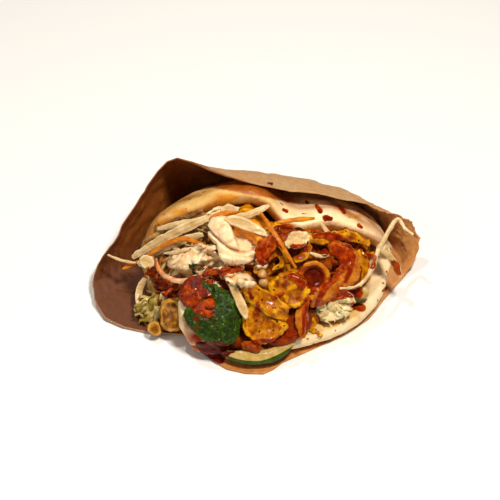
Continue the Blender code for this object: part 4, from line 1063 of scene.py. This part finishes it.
ON_BREAD = (
    ((38, 43, 1.6), (40.5, 39.5, 2.2)), ((54, 42.5, 1.4), (57, 39, 1.8), (56, 41.5, 1.2)),
    ((44, 34.5, 2.6), (47.5, 34, 1.8)), ((31, 46, 1.2), (33, 45, 1.0)),
    ((15, 40, 1.4), (17, 39, 1.6)), ((67, 29.5, 1.5), (69, 28, 1.2)),
    ((63, -26, 2.6), (69, -27.5, 3.2)), ((85, -16, 1.6), (87, -14, 1.4)),
)
ON_PAPER = (((4.5, 58.5, 1.4), (6.5, 58, 1.6)), ((-39, -57, 4), (-31, -61, 5.5)))


class PITA_OT_pours(bpy.types.Operator):
    """Barbecue sauce over the filling, drops of it on the bread and the paper"""
    bl_idname = "pita.pours"
    bl_label = "Poured sauce"

    def execute(self, context):
        names = [piece.name for piece in bpy.data.objects
                 if piece.name.endswith(("_dressed", "_shreds", "_scraps"))]
        ground = ground_of(names)
        cream = pour("cream_smear", ground, CREAM, "garlic_sauce", depth=4.2, ragged=0.45,
                     grain=8.0, seed=3.0, reach=14.0, even=1.0)
        petals = waves(points_of(cream.data), 9.0, 5.0, (1.7, 0.7, 0.7))
        move_out(cream.data, 1.4 * (0.5 - np.abs(petals)))
        note(cream.data, "stain", 0.35 * step(np.abs(petals), 0.25, 0.0)
             + 0.35 * waves(points_of(cream.data), 9.0, 2.0))
        ground = ground_of(names + ["cream_smear"])
        chili = pour("chili_smear", ground, CHILI, "chili_sauce", depth=0.7, ragged=0.7,
                     grain=3.5, seed=4.0)
        note(chili.data, "thin", 0.5 + 0.6 * waves(points_of(chili.data), 4.0, 2.0))
        pour("herb_flecks", ground, HERBS, "herb_sauce", depth=0.5, ragged=0.7, grain=1.6,
             seed=2.0, cell=0.3)
        for name, runs, depth, ragged, grain, hold in (
                ("sauce_on_filling", ON_FILLING, 1.0, 0.6, 5.0, {}),
                ("sauce_pool", POOL, 0.7, 0.35, 6.0, {"reach": 9.0, "even": 1.0}),
                ("sauce_drips", DRIPS, 0.9, 0.25, 4.0, {}),
                ("sauce_on_bread", ON_BREAD, 0.7, 0.2, 3.0, {}),
                ("sauce_on_paper", ON_PAPER, 0.5, 0.3, 3.0, {})):
            sauce = pour(name, ground, runs, "barbecue_sauce", depth, ragged, grain, **hold)
            if name in ("sauce_pool", "sauce_on_paper"):
                note(sauce.data, "deep", np.ones(len(sauce.data.vertices)))
        return {"FINISHED"}


class PITA_OT_stage(bpy.types.Operator):
    """Pale floor, soft lamps and the camera"""
    bl_idname = "pita.stage"
    bl_label = "Stage"

    def execute(self, context):
        settings = context.scene.pita_stage
        bpy.ops.mesh.primitive_plane_add(size=4.0, location=(0, 0, -0.0003))
        floor = context.object
        floor.name = "floor"
        material = bpy.data.materials.new("floor_matt")
        material.use_nodes = True
        shader = material.node_tree.nodes["Principled BSDF"]
        shader.inputs["Base Color"].default_value = (*settings.floor, 1.0)
        shader.inputs["Roughness"].default_value = 0.6
        floor.data.materials.append(material)
        world = context.scene.world or bpy.data.worlds.new("studio")
        context.scene.world = world
        world.use_nodes = True
        sky = world.node_tree.nodes["Background"]
        sky.inputs["Color"].default_value = (1.0, 0.99, 0.97, 1.0)
        sky.inputs["Strength"].default_value = settings.sky
        context.scene.view_settings.view_transform = "Standard"
        self.lamp("key", (0.24, -0.22, 1.02), 0.18, settings.key, (1.0, 0.95, 0.88))
        self.lamp("glint", (-0.25, 0.20, 1.0), 0.05, 0.28 * settings.key, (1.0, 0.97, 0.92))
        self.lamp("fill", (-0.7, -0.5, 0.7), 0.5, settings.fill, (1.0, 0.98, 0.96))
        back = Vector((0.0, -math.cos(settings.elevation), math.sin(settings.elevation)))
        camera = link("camera", bpy.data.cameras.new("camera"))
        camera.data.lens = 200.0
        camera.data.sensor_width = 36.0
        camera.location = mouth(-8.2, 12.3) + back * settings.distance
        camera.rotation_euler = back.to_track_quat("Z", "Y").to_euler()
        context.scene.camera = camera
        return {"FINISHED"}

    def lamp(self, name, place, size, power, tint):
        """A round soft lamp, size metres across, turned to the mouth."""
        data = bpy.data.lights.new(name, "AREA")
        data.shape = "DISK"
        data.size = size
        data.energy = power
        data.color = tint
        lamp = link(name, data)
        lamp.location = place
        lamp.rotation_euler = (Vector(place) - mouth(0, 0)).to_track_quat("Z", "Y").to_euler()


class PITA_PT_panel(bpy.types.Panel):
    bl_idname = "PITA_PT_panel"
    bl_label = "Pita sandwich"
    bl_space_type = "VIEW_3D"
    bl_region_type = "UI"
    bl_category = "Pita"

    def draw(self, context):
        for kind in OPERATORS:
            self.layout.operator(kind.bl_idname)
        for group in (context.scene.pita_bread, context.scene.pita_filling,
                      context.scene.pita_stage):
            box = self.layout.box()
            for name in group.__annotations__:
                box.prop(group, name)


OPERATORS = (PITA_OT_paper, PITA_OT_bread, PITA_OT_slaw, PITA_OT_chicken, PITA_OT_vegetables,
             PITA_OT_sauces, PITA_OT_pours, PITA_OT_stage)
SETTINGS = {"pita_bread": PitaBreadSettings, "pita_filling": PitaFillingSettings,
            "pita_stage": PitaStageSettings}


def register():
    for kind in (*SETTINGS.values(), *OPERATORS, PITA_PT_panel):
        bpy.utils.register_class(kind)
    for name, kind in SETTINGS.items():
        setattr(bpy.types.Scene, name, PointerProperty(type=kind))


def unregister():
    for name in SETTINGS:
        delattr(bpy.types.Scene, name)
    for kind in (PITA_PT_panel, *OPERATORS, *SETTINGS.values()):
        bpy.utils.unregister_class(kind)


def main():
    register()
    for kind in OPERATORS:
        family, name = kind.bl_idname.split(".")
        getattr(getattr(bpy.ops, family), name)()


if __name__ == "__main__":
    main()
